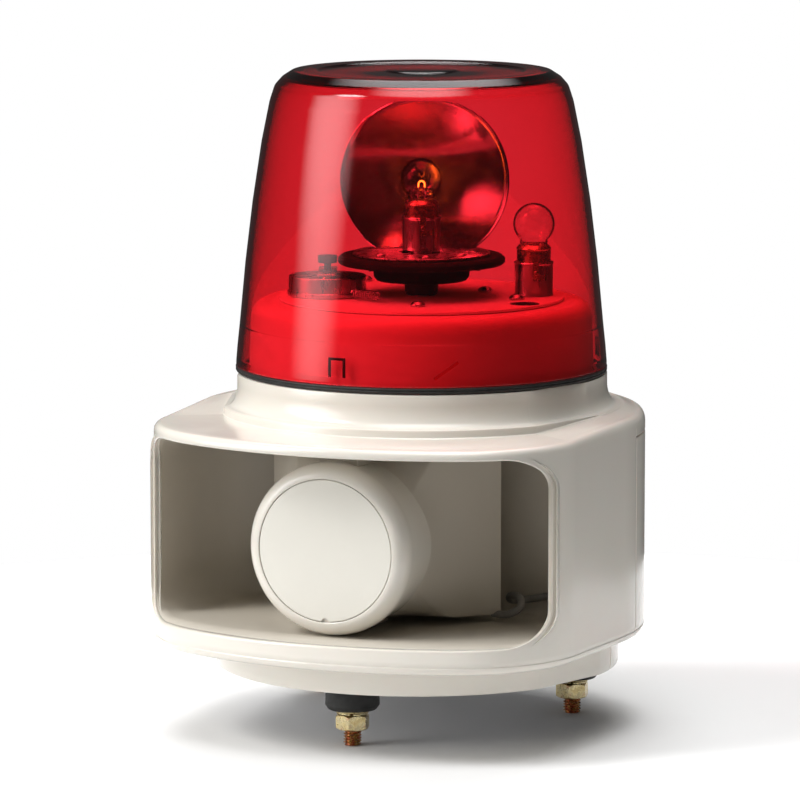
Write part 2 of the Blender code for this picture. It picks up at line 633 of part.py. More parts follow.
# ---- electrics inside the back ------------------------------------------------------
def electrics():
    slab("transformer", (0.046, 0.036, 0.040), (-0.026, 0.020, 0.0510), "ferrite", 0.001)
    slab("terminal_block", (0.042, 0.014, 0.013), (0.029, 0.026, 0.0370), "black_plastic", 0.0006)
    slab("amplifier_board", (0.110, 0.0016, 0.062), (0, 0.056, 0.0900), "board")
    slab("volume_pot", (0.011, 0.0070, 0.011), (0.030, 0.0605, 0.0900), "black_plastic", 0.0004)
    knob = turned("volume_knob", [(0, 0.0080), (0.0028, 0.0080), (0.0032, 0.0076), (0.0032, 0.0), (0, 0.0)],
                  "chassis", SMALL, location=(0.030, 0.0643, 0.0900), rotation=(-math.pi / 2, 0, 0))
    cut(knob, slab("knob_slot", (0.0010, 0.0030, 0.0080), (0.030, 0.0726, 0.0900), None))
    turned("lead_grommet", [(0.0046, 0.0010), (0.0046, 0.0030), (0.0018, 0.0030), (0.0018, 0.0010)][::-1],
           "rubber", TINY, True, location=(0.0730, -0.0135, 0.0610), rotation=(-math.pi / 2, 0, 0))


front_housing()
rear_cover()
cover_screws()
base_plate()
mounting_studs()
horn_liner()
horn_core()
driver()
seal_and_globe()
PLATE_HIGH = chassis()
lamps(PLATE_HIGH)
rotor()
motor(PLATE_HIGH)
electrics()
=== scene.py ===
import json
import math

import bmesh
import bpy
from mathutils import Matrix, Vector


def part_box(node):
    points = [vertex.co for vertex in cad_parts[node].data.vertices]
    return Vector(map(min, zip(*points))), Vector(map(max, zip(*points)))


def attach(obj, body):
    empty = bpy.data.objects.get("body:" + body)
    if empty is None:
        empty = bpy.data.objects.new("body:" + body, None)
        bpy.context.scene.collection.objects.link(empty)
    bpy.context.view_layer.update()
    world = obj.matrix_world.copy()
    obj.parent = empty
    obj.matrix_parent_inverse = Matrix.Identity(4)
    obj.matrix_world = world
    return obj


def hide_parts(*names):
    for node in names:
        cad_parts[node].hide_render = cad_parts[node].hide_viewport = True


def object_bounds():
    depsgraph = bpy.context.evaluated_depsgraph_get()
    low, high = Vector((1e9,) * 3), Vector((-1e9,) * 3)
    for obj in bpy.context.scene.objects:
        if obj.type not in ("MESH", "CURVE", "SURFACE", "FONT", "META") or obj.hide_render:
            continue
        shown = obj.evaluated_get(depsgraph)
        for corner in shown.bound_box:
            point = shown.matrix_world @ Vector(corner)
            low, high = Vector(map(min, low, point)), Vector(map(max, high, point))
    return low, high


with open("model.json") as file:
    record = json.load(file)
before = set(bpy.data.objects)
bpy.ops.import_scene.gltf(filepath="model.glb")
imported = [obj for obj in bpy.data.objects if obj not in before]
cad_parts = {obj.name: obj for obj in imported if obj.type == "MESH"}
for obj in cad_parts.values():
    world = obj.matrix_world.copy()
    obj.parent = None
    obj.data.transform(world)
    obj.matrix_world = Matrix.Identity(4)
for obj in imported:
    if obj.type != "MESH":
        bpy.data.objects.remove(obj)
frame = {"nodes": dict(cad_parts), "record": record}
CAD_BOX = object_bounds()

# ---- places read from the frame ------------------------------------------------------
# Everything is modelled from the globe's axis, with heights above the stud tips, and each
# object is then put at ORIGIN.
GLOBE_LOW, GLOBE_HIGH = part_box("globe")
ORIGIN = Vector(((GLOBE_LOW.x + GLOBE_HIGH.x) / 2, (GLOBE_LOW.y + GLOBE_HIGH.y) / 2, CAD_BOX[0][2]))
GAP = 0.0003


def span(node):
    """A node's lowest and highest corner, from the globe's axis and the stud tips."""
    low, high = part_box(node)
    return low - ORIGIN, high - ORIGIN


def middle(node):
    low, high = span(node)
    return (low + high) / 2


def levels(node):
    """A node's bottom and top."""
    low, high = span(node)
    return low.z, high.z


def half_width(node):
    low, high = span(node)
    return (high.x - low.x) / 2


SEAL_BOTTOM, SEAL_TOP = levels("seal_ring")
GLOBE_FOOT, GLOBE_TOP = levels("globe")
GLOBE_R = span("globe")[1].x
PLINTH_BOTTOM = levels("front_housing")[0]
FRONT_Y = span("front_housing")[0].y
REAR_R = span("rear_cover")[1].x
REAR_CENTRE_Y = span("rear_cover")[1].y - REAR_R
SEAM_Y = span("rear_cover")[0].y
CHASSIS_FOOT, CHASSIS_TOP = levels("chassis_drum")
PLATE_FOOT, PLATE_TOP = levels("chassis_plate")
TURNTABLE_LOW, TURNTABLE_HIGH = levels("turntable")
TURNTABLE_R = span("turntable")[1].x
WHEEL_R = span("drive_wheel")[1].x
WHEEL_LOW, WHEEL_HIGH = levels("drive_wheel")
DRIVER_Z = middle("driver_cap").z
CAP_R = span("driver_cap")[1].x
CAP_FACE_Y = span("driver_cap")[0].y
DISC_R = span("cap_disc")[1].x
DRIVER_R = span("driver_housing")[1].x
DRIVER_BACK_Y = span("driver_housing")[1].y
LINER_BACK_Y = span("horn_liner")[1].y

# ---- housing dimensions that a box can't give ----------------------------------------
BOX_BOTTOM = 0.0400
DECK_H = 0.1350           # bezel over the mouth
REAR_RISE = 0.0019        # the rim climbs this much towards the back
DRUM_R = 0.0870           # round step under the neck
DRUM_H = 0.1386
NECK_R = 0.0810
NECK_BORE_R = 0.0762
PARTING_TOP = 0.1280      # top of the rear cover
PLINTH_R = 0.0882
CREASE_H = 0.0440         # fine crease over the wall's lower lip
UNDER_INSET = 0.0045      # where the wall's lip turns into the sloping underside
WALL_ROW_H = 0.0460       # lowest full row of the wall, above the crease
WALL = 0.0024
BOW_R = 0.160             # the bowed front in plan
BOW_SPLIT = math.radians(22.8)
FLANK = math.radians(3.4)
RIM_R = 0.0032            # rounding of the deck's rim
SEAM_GAP = 0.0006         # between the front housing's edge and the rear cover's
LIP_R = 0.0010            # rounding round the mouth
MOUTH_HALF_W = 0.0922
MOUTH_LOW = 0.0509
MOUTH_HIGH = 0.1306
MOUTH_CORNER = 0.0138

# ---- horn, lamp and hardware dimensions ----------------------------------------------
TRAY_START = 0.0044       # the tray's edge behind the front, just past the mouth's return
TRAY_PLAY = 0.0001        # the tray's edge inside the mouth's return
TRAY_BEND_Y = -0.0500     # from here back the tray narrows
TRAY_NARROWS = 0.0300
TRAY_WALL = 0.0014
BLOCK_START_Y = -0.0770   # where the driver's round body starts to flow into the block
BLOCK_EDGE_Y = -0.0380
WEB_FRONT_Y = -0.0890
WEB_BACK_Y = -0.0560
WEB_W = 0.0180
CAP_ROUND = 0.0078        # depth of the cap's rounded shoulder
NOTCH_R = 0.0017          # half-round notch at the foot of the cap's disc
LEAD_R = 0.0016
LENS_WALL = 0.0025
CHASSIS_R = 0.0740
PLATE_R = 0.0620
PLATE_BORE = 0.0060       # for the lamp post
WIRE_HOLE_R = 0.0065
WIRE_HOLE_AT = (0.0540, -12.0)      # distance from the axis and bearing in degrees
LAMP_PINS = (-62.0, 118.0)          # bearings of a lamp's two bayonet pins
WHEEL_BORE = 0.0115
DISH_FOCUS = 0.0240
DISH_R = 0.0373
DISH_FACING = math.radians(16.0)
DISH_SHEET = 0.0012
MOTOR_ARM = math.radians(293.5)     # direction of the motor's swing arm
SPRING_FROM = Vector((-0.0200, -0.0270, 0.1885))
SPRING_TO = Vector((-0.0060, -0.0330, 0.1885))
THREAD_PITCH = 0.00125
THREAD_CREST = 0.0040
THREAD_ROOT = 0.0031
STUD_HEAD_R = 0.0074
STUD_HEAD_RISE = 0.0033   # the head's underside above the plinth's bottom
NUT_FLATS = 0.0130
NUT_BORE = 0.0041
WASHER_BORE = 0.0043

# ---- camera --------------------------------------------------------------------------
CAMERA_AZIMUTH = math.radians(23.5)
CAMERA_PITCH = math.radians(8.1)
CAMERA_DISTANCE = 2.4312
CAMERA_TARGET = Vector((-0.0086, 0.0018, 0.1235))
CAMERA_LENS = 250.5

# ---- studio --------------------------------------------------------------------------
# Soft patches of the dome: bearing and height in degrees, width in degrees, brightness.
# A bearing of 0 is straight in front of the object, and 90 is to its right.
GLOWS = [(-50, 18, 25, 5.2), (-50, 46, 13, 20.0), (22, 78, 27, 5.0), (200, 62, 27, 5.0)]
DOME = 0.05
BACKDROP = 1.0            # brightness of the white that only the camera sees
FLOOR_R = 0.44
KEY_AT = (-1.4, -1.6, 0.8)
KEY_AIM = (0, 0, 0.12)
KEY_SIZE = 0.9
KEY_POWER = 2.0


# ---- shapes --------------------------------------------------------------------------
def lerp(a, b, t):
    return a + (b - a) * t


def smooth_step(t):
    t = min(1.0, max(0.0, t))
    return t * t * (3 - 2 * t)


def polar(radius, bearing_deg, height=0.0):
    angle = math.radians(bearing_deg)
    return Vector((radius * math.cos(angle), radius * math.sin(angle), height))


def rounded(corners, closed=False, steps=5):
    """An outline of (a, b, corner radius), with each corner that has a radius made round."""
    out = []
    last = len(corners) - 1
    for i, (a, b, radius) in enumerate(corners):
        if radius == 0 or (not closed and i in (0, last)):
            out.append((a, b))
            continue
        here = Vector((a, b))
        before = Vector(corners[i - 1][:2]) - here
        after = Vector(corners[(i + 1) % len(corners)][:2]) - here
        half = max(before.angle(after) / 2, 0.05)
        reach = min(radius / math.tan(half), before.length * 0.49, after.length * 0.49)
        start = here + before.normalized() * reach
        end = here + after.normalized() * reach
        for k in range(steps + 1):
            t = k / steps
            out.append(tuple(start * (1 - t) ** 2 + here * 2 * t * (1 - t) + end * t * t))
    return out


def add_rings(work, rings, closed=True):
    """Skins a list of point rings that all have the same number of points."""
    rows = [[work.verts.new(point) for point in ring] for ring in rings]
    count = len(rings[0])
    for lower, upper in zip(rows, rows[1:]):
        for i in range(count if closed else count - 1):
            j = (i + 1) % count
            work.faces.new((lower[i], lower[j], upper[j], upper[i]))
    return rows


def capped(rings):
    """Skins rings and closes both ends."""
    work = bmesh.new()
    rows = add_rings(work, rings)
    work.faces.new(rows[0])
    work.faces.new(list(reversed(rows[-1])))
    return work


def finished(work, degrees=30.0, weld=0.000002):
    """Welds, turns faces outwards and shades a bmesh, and returns it as a mesh."""
    bmesh.ops.remove_doubles(work, verts=work.verts, dist=weld)
    bmesh.ops.dissolve_degenerate(work, edges=work.edges, dist=weld)
    bmesh.ops.recalc_face_normals(work, faces=work.faces)
    mesh = bpy.data.meshes.new("shape")
    work.to_mesh(mesh)
    work.free()
    mesh.shade_smooth()
    mesh.set_sharp_from_angle(angle=math.radians(degrees))
    return mesh


def turned(profile, steps=96, closed=False, degrees=30.0):
    """A profile of (radius, height) turned about Z; a closed one makes a ring."""
    points = list(profile) + ([profile[0]] if closed else [])
    angles = [2 * math.pi * i / steps for i in range(steps)]
    work = bmesh.new()
    add_rings(work, [[(r * math.cos(a), r * math.sin(a), h) for a in angles] for r, h in points])
    return finished(work, degrees)


def lathe(corners, steps=96, closed=False, bends=5, degrees=30.0):
    """A profile of (radius, height, corner radius), rounded and turned about Z."""
    return turned(rounded(corners, closed, bends), steps, closed, degrees)


def rod(radius, low, high, steps):
    return turned([(0, high), (radius, high), (radius, low), (0, low)], steps)


def block(size, centre=(0, 0, 0), bevel=0.0004, segments=3, turn=0.0):
    """A box with rounded edges, turned about its own upright axis."""
    work = bmesh.new()
    bmesh.ops.create_cube(work, size=1.0, matrix=Matrix.Diagonal((*size, 1.0)))
    bmesh.ops.bevel(work, geom=work.edges[:] + work.verts[:], offset=bevel, segments=segments,
                    affect="EDGES", profile=0.5)
    place = Matrix.Translation(centre) @ Matrix.Rotation(turn, 4, "Z")
    bmesh.ops.transform(work, matrix=place, verts=work.verts)
    return finished(work, 50.0)


def swept(path, radius, sides=12):
    """A round wire along a list of points, with closed ends."""
    points = [Vector(p) for p in path]
    rings = []
    side = None
    for i, here in enumerate(points):
        ahead = points[min(i + 1, len(points) - 1)] - points[max(i - 1, 0)]
        ahead.normalize()
        side = ahead.orthogonal() if side is None else side - ahead * side.dot(ahead)
        side.normalize()
        other = ahead.cross(side)
        rings.append([here + (side * math.cos(a) + other * math.sin(a)) * radius
                      for a in (2 * math.pi * k / sides for k in range(sides))])
    return finished(capped(rings), 40.0)


def moved(mesh, matrix):
    mesh.transform(matrix)
    return mesh


def at(point, height=None):
    """Placement at a point, or over it at a given height."""
    return Matrix.Translation((point[0], point[1], point[2] if height is None else height))


def turn_z(degrees):
    return Matrix.Rotation(math.radians(degrees), 4, "Z")


def merged(meshes, degrees=30.0):
    """Several meshes as one."""
    work = bmesh.new()
    for mesh in meshes:
        work.from_mesh(mesh)
    return finished(work, degrees, 0.0000001)


def carved(mesh, tool, operation="DIFFERENCE", degrees=30.0):
    """Cuts, joins or trims one mesh with another and returns the result."""
    body = bpy.data.objects.new("body", mesh)
    cutter = bpy.data.objects.new("cutter", tool)
    for made in (body, cutter):
        bpy.context.scene.collection.objects.link(made)
    step = body.modifiers.new("carve", "BOOLEAN")
    step.operation = operation
    step.solver = "EXACT"
    step.object = cutter
    seen = body.evaluated_get(bpy.context.evaluated_depsgraph_get())
    result = bpy.data.meshes.new_from_object(seen)
    for made in (body, cutter):
        bpy.data.objects.remove(made)
    result.shade_smooth()
    result.set_sharp_from_angle(angle=math.radians(degrees))
    return result


def piece(name, mesh, slot, stands_for=(), place=None, body="housing", look=None):
    """Puts a mesh into the model with the finish of its slot or look, under its body, and hides the CAD nodes
    it stands for.
    """
    mesh.name = name
    mesh.materials.clear()
    mesh.materials.append(LOOKS[look or slot])
    made = bpy.data.objects.new(name, mesh)
    bpy.context.scene.collection.objects.link(made)
    made.matrix_world = Matrix.Translation(ORIGIN) @ (place or Matrix.Identity(4))
    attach(made, body)
    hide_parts(*stands_for)
    return made


# ---- materials -----------------------------------------------------------------------
def node(tree, kind, **values):
    made = tree.nodes.new(kind)
    for key, value in values.items():
        if key in made.inputs:
            made.inputs[key].default_value = value
        else:
            setattr(made, key, value)
    return made


def noise(tree, scale, detail=3.0, stretch=(1, 1, 1)):
    """Noise in the object's own metres."""
    where = node(tree, "ShaderNodeTexCoord")
    mapping = node(tree, "ShaderNodeMapping")
    mapping.inputs["Scale"].default_value = stretch
    made = node(tree, "ShaderNodeTexNoise", Scale=scale, Detail=detail)
    tree.links.new(where.outputs["Object"], mapping.inputs["Vector"])
    tree.links.new(mapping.outputs["Vector"], made.inputs["Vector"])
    return made.outputs["Fac"]


def ramp(tree, source, stops):
    made = node(tree, "ShaderNodeValToRGB")
    elements = made.color_ramp.elements
    while len(elements) < len(stops):
        elements.new(0.5)
    for element, (position, colour) in zip(elements, stops):
        element.position = position
        element.color = (*colour, 1.0)
    tree.links.new(source, made.inputs["Fac"])
    return made.outputs["Color"]


def ranged(tree, source, low, high, start=0.3, end=0.7):
    made = node(tree, "ShaderNodeMapRange")
    for name, value in (("From Min", start), ("From Max", end), ("To Min", low), ("To Max", high)):
        made.inputs[name].default_value = value
    tree.links.new(source, made.inputs["Value"])
    return made.outputs["Result"]


def shade(colour, factor):
    return tuple(min(1.0, c * factor) for c in colour)


def finish(name, colour, roughness, metallic=0.0, mottle=0.04, patch=60.0, rough_spread=0.06,
           grain=(900.0, 0.04), edge_wear=0.0, stretch=(1, 1, 1), tints=None, **fixed):
    """A Principled finish: mottled colour, uneven gloss, a fine surface grain and worn edges."""
    made = bpy.data.materials.new(name)
    made.use_nodes = True
    tree = made.node_tree
    shader = tree.nodes["Principled BSDF"]
    shader.inputs["Metallic"].default_value = metallic
    for socket, value in fixed.items():
        shader.inputs[socket.replace("_", " ")].default_value = value
    stops = tints or [(0.35, shade(colour, 1 - mottle)), (0.65, shade(colour, 1 + mottle))]
    base = ramp(tree, noise(tree, patch, 4.0, stretch), stops)
    if edge_wear:
        geometry = node(tree, "ShaderNodeNewGeometry")
        edges = ranged(tree, geometry.outputs["Pointiness"], 0.0, edge_wear, 0.52, 0.60)
        mix = node(tree, "ShaderNodeMix", data_type="RGBA")
        tree.links.new(edges, mix.inputs["Factor"])
        tree.links.new(base, mix.inputs["A"])
        mix.inputs["B"].default_value = (*shade(colour, 1.25), 1.0)
        base = mix.outputs["Result"]
    tree.links.new(base, shader.inputs["Base Color"])
    gloss = ranged(tree, noise(tree, patch * 2.3, 5.0, stretch), max(0.01, roughness - rough_spread),
                   roughness + rough_spread)
    tree.links.new(gloss, shader.inputs["Roughness"])
    bump = node(tree, "ShaderNodeBump", Strength=grain[1], Distance=0.0004)
    tree.links.new(noise(tree, grain[0], 4.0, stretch), bump.inputs["Height"])
    tree.links.new(bump.outputs["Normal"], shader.inputs["Normal"])
    return made


def clear(name, colour, shadow_colour, roughness, ior):
    """Clear or tinted see-through plastic or glass that also lets lamplight through."""
    made = finish(name, colour, roughness, mottle=0.015, patch=25.0, rough_spread=roughness * 0.5,
                  grain=(120.0, 0.01), Transmission_Weight=1.0, IOR=ior)
    tree = made.node_tree
    shader = tree.nodes["Principled BSDF"]
    path = node(tree, "ShaderNodeLightPath")
    through = node(tree, "ShaderNodeBsdfTransparent")
    through.inputs["Color"].default_value = (*shadow_colour, 1.0)
    mix = node(tree, "ShaderNodeMixShader")
    tree.links.new(path.outputs["Is Shadow Ray"], mix.inputs["Fac"])
    tree.links.new(shader.outputs["BSDF"], mix.inputs[1])
    tree.links.new(through.outputs["BSDF"], mix.inputs[2])
    tree.links.new(mix.outputs["Shader"], tree.nodes["Material Output"].inputs["Surface"])
    return made


def deepened(made, colour, density):
    """Makes a clear material darker and more saturated where light goes further through it."""
    tree = made.node_tree
    depth = node(tree, "ShaderNodeVolumeAbsorption", Color=(*colour, 1.0), Density=density)
    tree.links.new(depth.outputs["Volume"], tree.nodes["Material Output"].inputs["Volume"])
    return made


def glowing(name, colour, strength):
    made = finish(name, colour, 0.5, mottle=0.1, patch=900.0)
    shader = made.node_tree.nodes["Principled BSDF"]
    shader.inputs["Emission Color"].default_value = (*colour, 1.0)
    shader.inputs["Emission Strength"].default_value = strength
    return made


ZINC_TINTS = [(0.30, (0.40, 0.29, 0.12)), (0.45, (0.58, 0.48, 0.26)), (0.58, (0.50, 0.44, 0.28)),
              (0.70, (0.50, 0.25, 0.16))]
THREAD_TINTS = [(0.32, (0.34, 0.10, 0.06)), (0.46, (0.50, 0.20, 0.10)), (0.58, (0.52, 0.38, 0.15)),
                (0.70, (0.26, 0.10, 0.10))]
LOOKS = {
    "ivory": finish("ivory_gloss", (0.775, 0.735, 0.66), 0.20, mottle=0.012, patch=14.0, rough_spread=0.05,
                    grain=(420.0, 0.03), edge_wear=0.25, Coat_Weight=0.35, Coat_Roughness=0.08, Coat_IOR=1.5,
                    Subsurface_Weight=0.05, Subsurface_Scale=0.002),
    # horn liner, block and webs: the housing's ivory painted darker as the shade inside the horn's recess,
    # with a satin gloss
    "ivory_liner": finish("ivory_liner_satin_painted_shade", (0.57, 0.525, 0.45), 0.38, mottle=0.02, patch=20.0,
                          grain=(700.0, 0.05), edge_wear=0.15),
    "ivory_disc": finish("ivory_disc_satin", (0.80, 0.775, 0.70), 0.34, mottle=0.01, patch=30.0,
                         grain=(1500.0, 0.05)),
    "red_lens": deepened(clear("red_lens_acrylic", (0.91, 0.37, 0.43), (0.95, 0.60, 0.64), 0.03, 1.45),
                         (0.92, 0.0, 0.10), 420.0),
    "rubber": finish("seal_rubber", (0.010, 0.010, 0.009), 0.62, mottle=0.25, patch=120.0, rough_spread=0.12,
                     grain=(1800.0, 0.12), edge_wear=0.3),
    "wheel_rubber": finish("wheel_rubber", (0.004, 0.004, 0.004), 0.75, mottle=0.3, patch=200.0,
                           grain=(2400.0, 0.2), edge_wear=0.3, Specular_IOR_Level=0.2),
    "black_plastic": finish("black_plastic", (0.010, 0.010, 0.011), 0.45, mottle=0.15, patch=90.0,
                            grain=(1600.0, 0.10)),
    "yellow_zinc": finish("yellow_zinc", (0.62, 0.50, 0.26), 0.30, 1.0, patch=330.0, rough_spread=0.12,
                          grain=(2600.0, 0.10), tints=ZINC_TINTS, edge_wear=0.3),
    "thread": finish("zinc_thread", (0.50, 0.20, 0.10), 0.28, 1.0, patch=420.0, rough_spread=0.12,
                     grain=(2600.0, 0.10), tints=THREAD_TINTS),
    "steel": finish("plated_steel", (0.62, 0.62, 0.63), 0.30, 1.0, mottle=0.06, patch=140.0,
                    rough_spread=0.10, grain=(2200.0, 0.08), stretch=(1, 1, 0.15), edge_wear=0.2),
    "mirror": finish("mirror", (0.52, 0.52, 0.54), 0.10, 1.0, mottle=0.01, patch=60.0, rough_spread=0.03,
                     grain=(300.0, 0.01)),
    "brass": finish("lamp_brass", (0.70, 0.58, 0.36), 0.26, 1.0, mottle=0.08, patch=260.0, rough_spread=0.08,
                    grain=(2200.0, 0.08), edge_wear=0.2),
    "glass": clear("lamp_glass", (0.97, 0.97, 0.97), (0.97, 0.97, 0.97), 0.02, 1.35),
    "glow": glowing("glowing_filament", (1.0, 0.60, 0.05), 9.0),
    "white_plastic": finish("white_plastic", (0.80, 0.79, 0.76), 0.42, mottle=0.02, patch=40.0,
                            grain=(900.0, 0.06), edge_wear=0.15),
    "green_board": finish("green_board", (0.03, 0.19, 0.08), 0.38, mottle=0.2, patch=380.0,
                          grain=(1500.0, 0.2)),
    "grey_cable": finish("grey_cable", (0.22, 0.21, 0.20), 0.5, mottle=0.06, patch=300.0,
                         grain=(2400.0, 0.12)),
    "cone": finish("paper_cone", (0.075, 0.07, 0.062), 0.8, mottle=0.3, patch=500.0,
                   grain=(2600.0, 0.4)),
    "ferrite": finish("ferrite", (0.09, 0.09, 0.10), 0.55, mottle=0.2, patch=300.0,
                      grain=(1600.0, 0.25)),
}


# ---- housing -------------------------------------------------------------------------
def corner_arc():
    """Centre and radius of the arc that joins the bowed front to the flank."""
    start = (BOW_R * math.sin(BOW_SPLIT), FRONT_Y + BOW_R - BOW_R * math.cos(BOW_SPLIT))
    end = (REAR_R * math.cos(FLANK), REAR_CENTRE_Y - REAR_R * math.sin(FLANK))
    along = (start[0] - end[0]) * math.cos(FLANK) - (start[1] - end[1]) * math.sin(FLANK)
    radius = -along / (math.cos(FLANK) - math.sin(BOW_SPLIT) * math.cos(FLANK)
                       - math.cos(BOW_SPLIT) * math.sin(FLANK))
    return start[0] - radius * math.sin(BOW_SPLIT), start[1] + radius * math.cos(BOW_SPLIT), radius


CORNER_X, CORNER_Y, CORNER_R = corner_arc()
BOW_LENGTH = BOW_R * BOW_SPLIT
CORNER_LENGTH = CORNER_R * (math.pi / 2 - FLANK - BOW_SPLIT)
SEAM_HEADING = math.pi / 2 + math.asin((SEAM_Y - REAR_CENTRE_Y) / REAR_R)
SEAM_S = BOW_LENGTH + CORNER_LENGTH + REAR_R * (SEAM_HEADING - math.pi / 2 + FLANK)
BACK_S = BOW_LENGTH + CORNER_LENGTH + REAR_R * (math.pi / 2 + FLANK)


def outline(s, inset=0.0):
    """Point of the housing's plan at the distance s from the front's middle, moved inwards by inset."""
    side = 1 if s >= 0 else -1
    s = abs(s)
    if s <= BOW_LENGTH:
        centre, radius, heading = (0, FRONT_Y + BOW_R), BOW_R, s / BOW_R
    elif s <= BOW_LENGTH + CORNER_LENGTH:
        centre, radius, heading = (CORNER_X, CORNER_Y), CORNER_R, BOW_SPLIT + (s - BOW_LENGTH) / CORNER_R
    else:
        centre, radius = (0, REAR_CENTRE_Y), REAR_R
        heading = math.pi / 2 - FLANK + (s - BOW_LENGTH - CORNER_LENGTH) / REAR_R
    reach = radius - inset
    return Vector((side * (centre[0] + reach * math.sin(heading)), centre[1] - reach * math.cos(heading)))


def s_at_x(x):
    """Distance along the plan at which the front has this x."""
    side = 1 if x >= 0 else -1
    x = abs(x)
    if x <= BOW_R * math.sin(BOW_SPLIT):
        return side * BOW_R * math.asin(x / BOW_R)
    return side * (BOW_LENGTH + CORNER_R * (math.asin((x - CORNER_X) / CORNER_R) - BOW_SPLIT))


def even(start, end, steps):
    return [lerp(start, end, i / steps) for i in range(steps + 1)]


ACROSS = 64               # columns over the straight part of the mouth
UPRIGHT = 14              # rows beside it
CORNER_STEPS = 12
PATCH_LOW = MOUTH_LOW - LIP_R - 0.0014
PATCH_HIGH = DECK_H - RIM_R
PATCH_S = s_at_x(MOUTH_HALF_W) + 0.006


def mouth_loops():
    """The mouth's edge and the patch round it, as matching closed loops of (s, height)."""
    straight = MOUTH_HALF_W - MOUTH_CORNER
    reach = s_at_x(straight)
    low, high = MOUTH_LOW + MOUTH_CORNER, MOUTH_HIGH - MOUTH_CORNER
    edge, rim = [], []
    half = CORNER_STEPS // 2

    def corner(sign, upper, start):
        for k in range(CORNER_STEPS):
            angle = start + math.pi / 2 * k / CORNER_STEPS
            x = sign * straight + MOUTH_CORNER * math.cos(angle)
            edge.append((s_at_x(x), (high if upper else low) + MOUTH_CORNER * math.sin(angle)))
            side_first = (sign > 0) == upper
            step = k if side_first else CORNER_STEPS - k
            outer_h = PATCH_HIGH if upper else PATCH_LOW
            inner_h = high if upper else low
            if step <= half:
                rim.append((sign * PATCH_S, lerp(inner_h, outer_h, step / half)))
            else:
                rim.append((sign * lerp(PATCH_S, reach, (step - half) / half), outer_h))

    def side(points, s_edge, s_rim, h_edge, h_rim):
        for value in points[:-1]:
            edge.append((value if s_edge is None else s_edge, value if h_edge is None else h_edge))
            rim.append((value if s_rim is None else s_rim, value if h_rim is None else h_rim))

    s_side = s_at_x(MOUTH_HALF_W)
    side(even(low, high, UPRIGHT), s_side, PATCH_S, None, None)
    corner(1, True, 0.0)
    side(even(reach, -reach, ACROSS), None, None, MOUTH_HIGH, PATCH_HIGH)
    corner(-1, True, math.pi / 2)
    side(even(high, low, UPRIGHT), -s_side, -PATCH_S, None, None)
    corner(-1, False, math.pi)
    side(even(-reach, reach, ACROSS), None, None, MOUTH_LOW, PATCH_LOW)
    corner(1, False, 1.5 * math.pi)
    return edge, rim


def on_wall(s, h, inset=0.0):
    x, y = outline(s, inset)
    return Vector((x, y, h))


def mouth_patch(work):
    """Return edge, rounded lip and the bezel round the mouth; gives the columns and rows of its rim."""
    edge, rim = mouth_loops()
    count = len(edge)
    loops = [[] for _ in range(14)]
    for i, (s, h) in enumerate(edge):
        before, after = edge[i - 1], edge[(i + 1) % count]
        along = Vector((after[0] - before[0], after[1] - before[1])).normalized()
        out = Vector((along.y, -along.x))
        surface = (s + out.x * LIP_R, h + out.y * LIP_R)
        point = on_wall(s, h)
        end = on_wall(*surface)
        inward = Vector((0, 1, 0))
        loops[0].append(point + inward * 0.0042)
        start = point + inward * LIP_R * 1.3
        for k in range(6):
            t = k / 5
            loops[1 + k].append(start * (1 - t) ** 2 + point * 2 * t * (1 - t) + end * t * t)
        for k, t in enumerate((0.03, 0.09, 0.2, 0.4, 0.6, 0.8, 1.0)):
            loops[7 + k].append(on_wall(lerp(surface[0], rim[i][0], t), lerp(surface[1], rim[i][1], t)))
    add_rings(work, loops)
    columns = sorted({round(s, 7) for s, h in rim if abs(h - PATCH_HIGH) < 1e-6})
    rows = sorted({round(h, 7) for s, h in rim if abs(s - PATCH_S) < 1e-6})
    return columns, rows


def seam_columns(end, sign):
    """Columns that round a vertical edge at the seam and return into the housing."""
    return [(end - sign * 0.0006, 0.0), (end - sign * 0.00025, 0.00005), (end - sign * 0.00005, 0.0003),
            (end, 0.0007), (end, 0.0030)]


def lip_profile():
    """Bottom of the wall: a fine crease, a rounded lip and a sloping underside, as (inset, height)."""
    crease = [(0.0, CREASE_H), (0.0002, CREASE_H - 0.0003), (0.0002, CREASE_H - 0.0006),
              (0.0, CREASE_H - 0.0009)]
    lip = [(0.0003, BOX_BOTTOM + 0.0018), (0.0012, BOX_BOTTOM + 0.0007), (0.0026, BOX_BOTTOM),
           (UNDER_INSET, BOX_BOTTOM - 0.0004)]
    return crease + lip


def under_points(columns, t, h):
    """Ring on the underside between the lip and the plinth."""
    out = []
    for s, inset in columns:
        start = outline(s, UNDER_INSET)
        bearing = math.atan2(start.y - REAR_CENTRE_Y, start.x)
        reach = PLINTH_R - inset
        end = Vector((reach * math.cos(bearing), REAR_CENTRE_Y + reach * math.sin(bearing)))
        out.append((*start.lerp(end, t), h))
    return out


def lower_part(work, columns, top_rows):
    """Wall under the given rows, then lip, underside and round plinth."""
    rings = [[on_wall(s, h, inset) for s, inset in columns] for h in top_rows]
    rings += [[on_wall(s, h, inset + extra) for s, inset in columns] for extra, h in lip_profile()]
    for t, h in ((0.4, 0.0388), (0.9, 0.0384), (0.985, 0.0380), (1.0, 0.0372), (1.0, 0.0300),
                 (1.0, PLINTH_BOTTOM + 0.0009)):
        rings.append(under_points(columns, t, h))
    for extra, rise in ((0.0003, 0.0002), (0.0010, 0.0), (0.0026, 0.0)):
        rings.append(under_points([(s, inset + extra) for s, inset in columns], 1.0, PLINTH_BOTTOM + rise))
    add_rings(work, rings, closed=False)


def climb(y):
    """How far the deck has risen here, from the front bezel's level to the back's."""
    return smooth_step((y + 0.058) / 0.050)


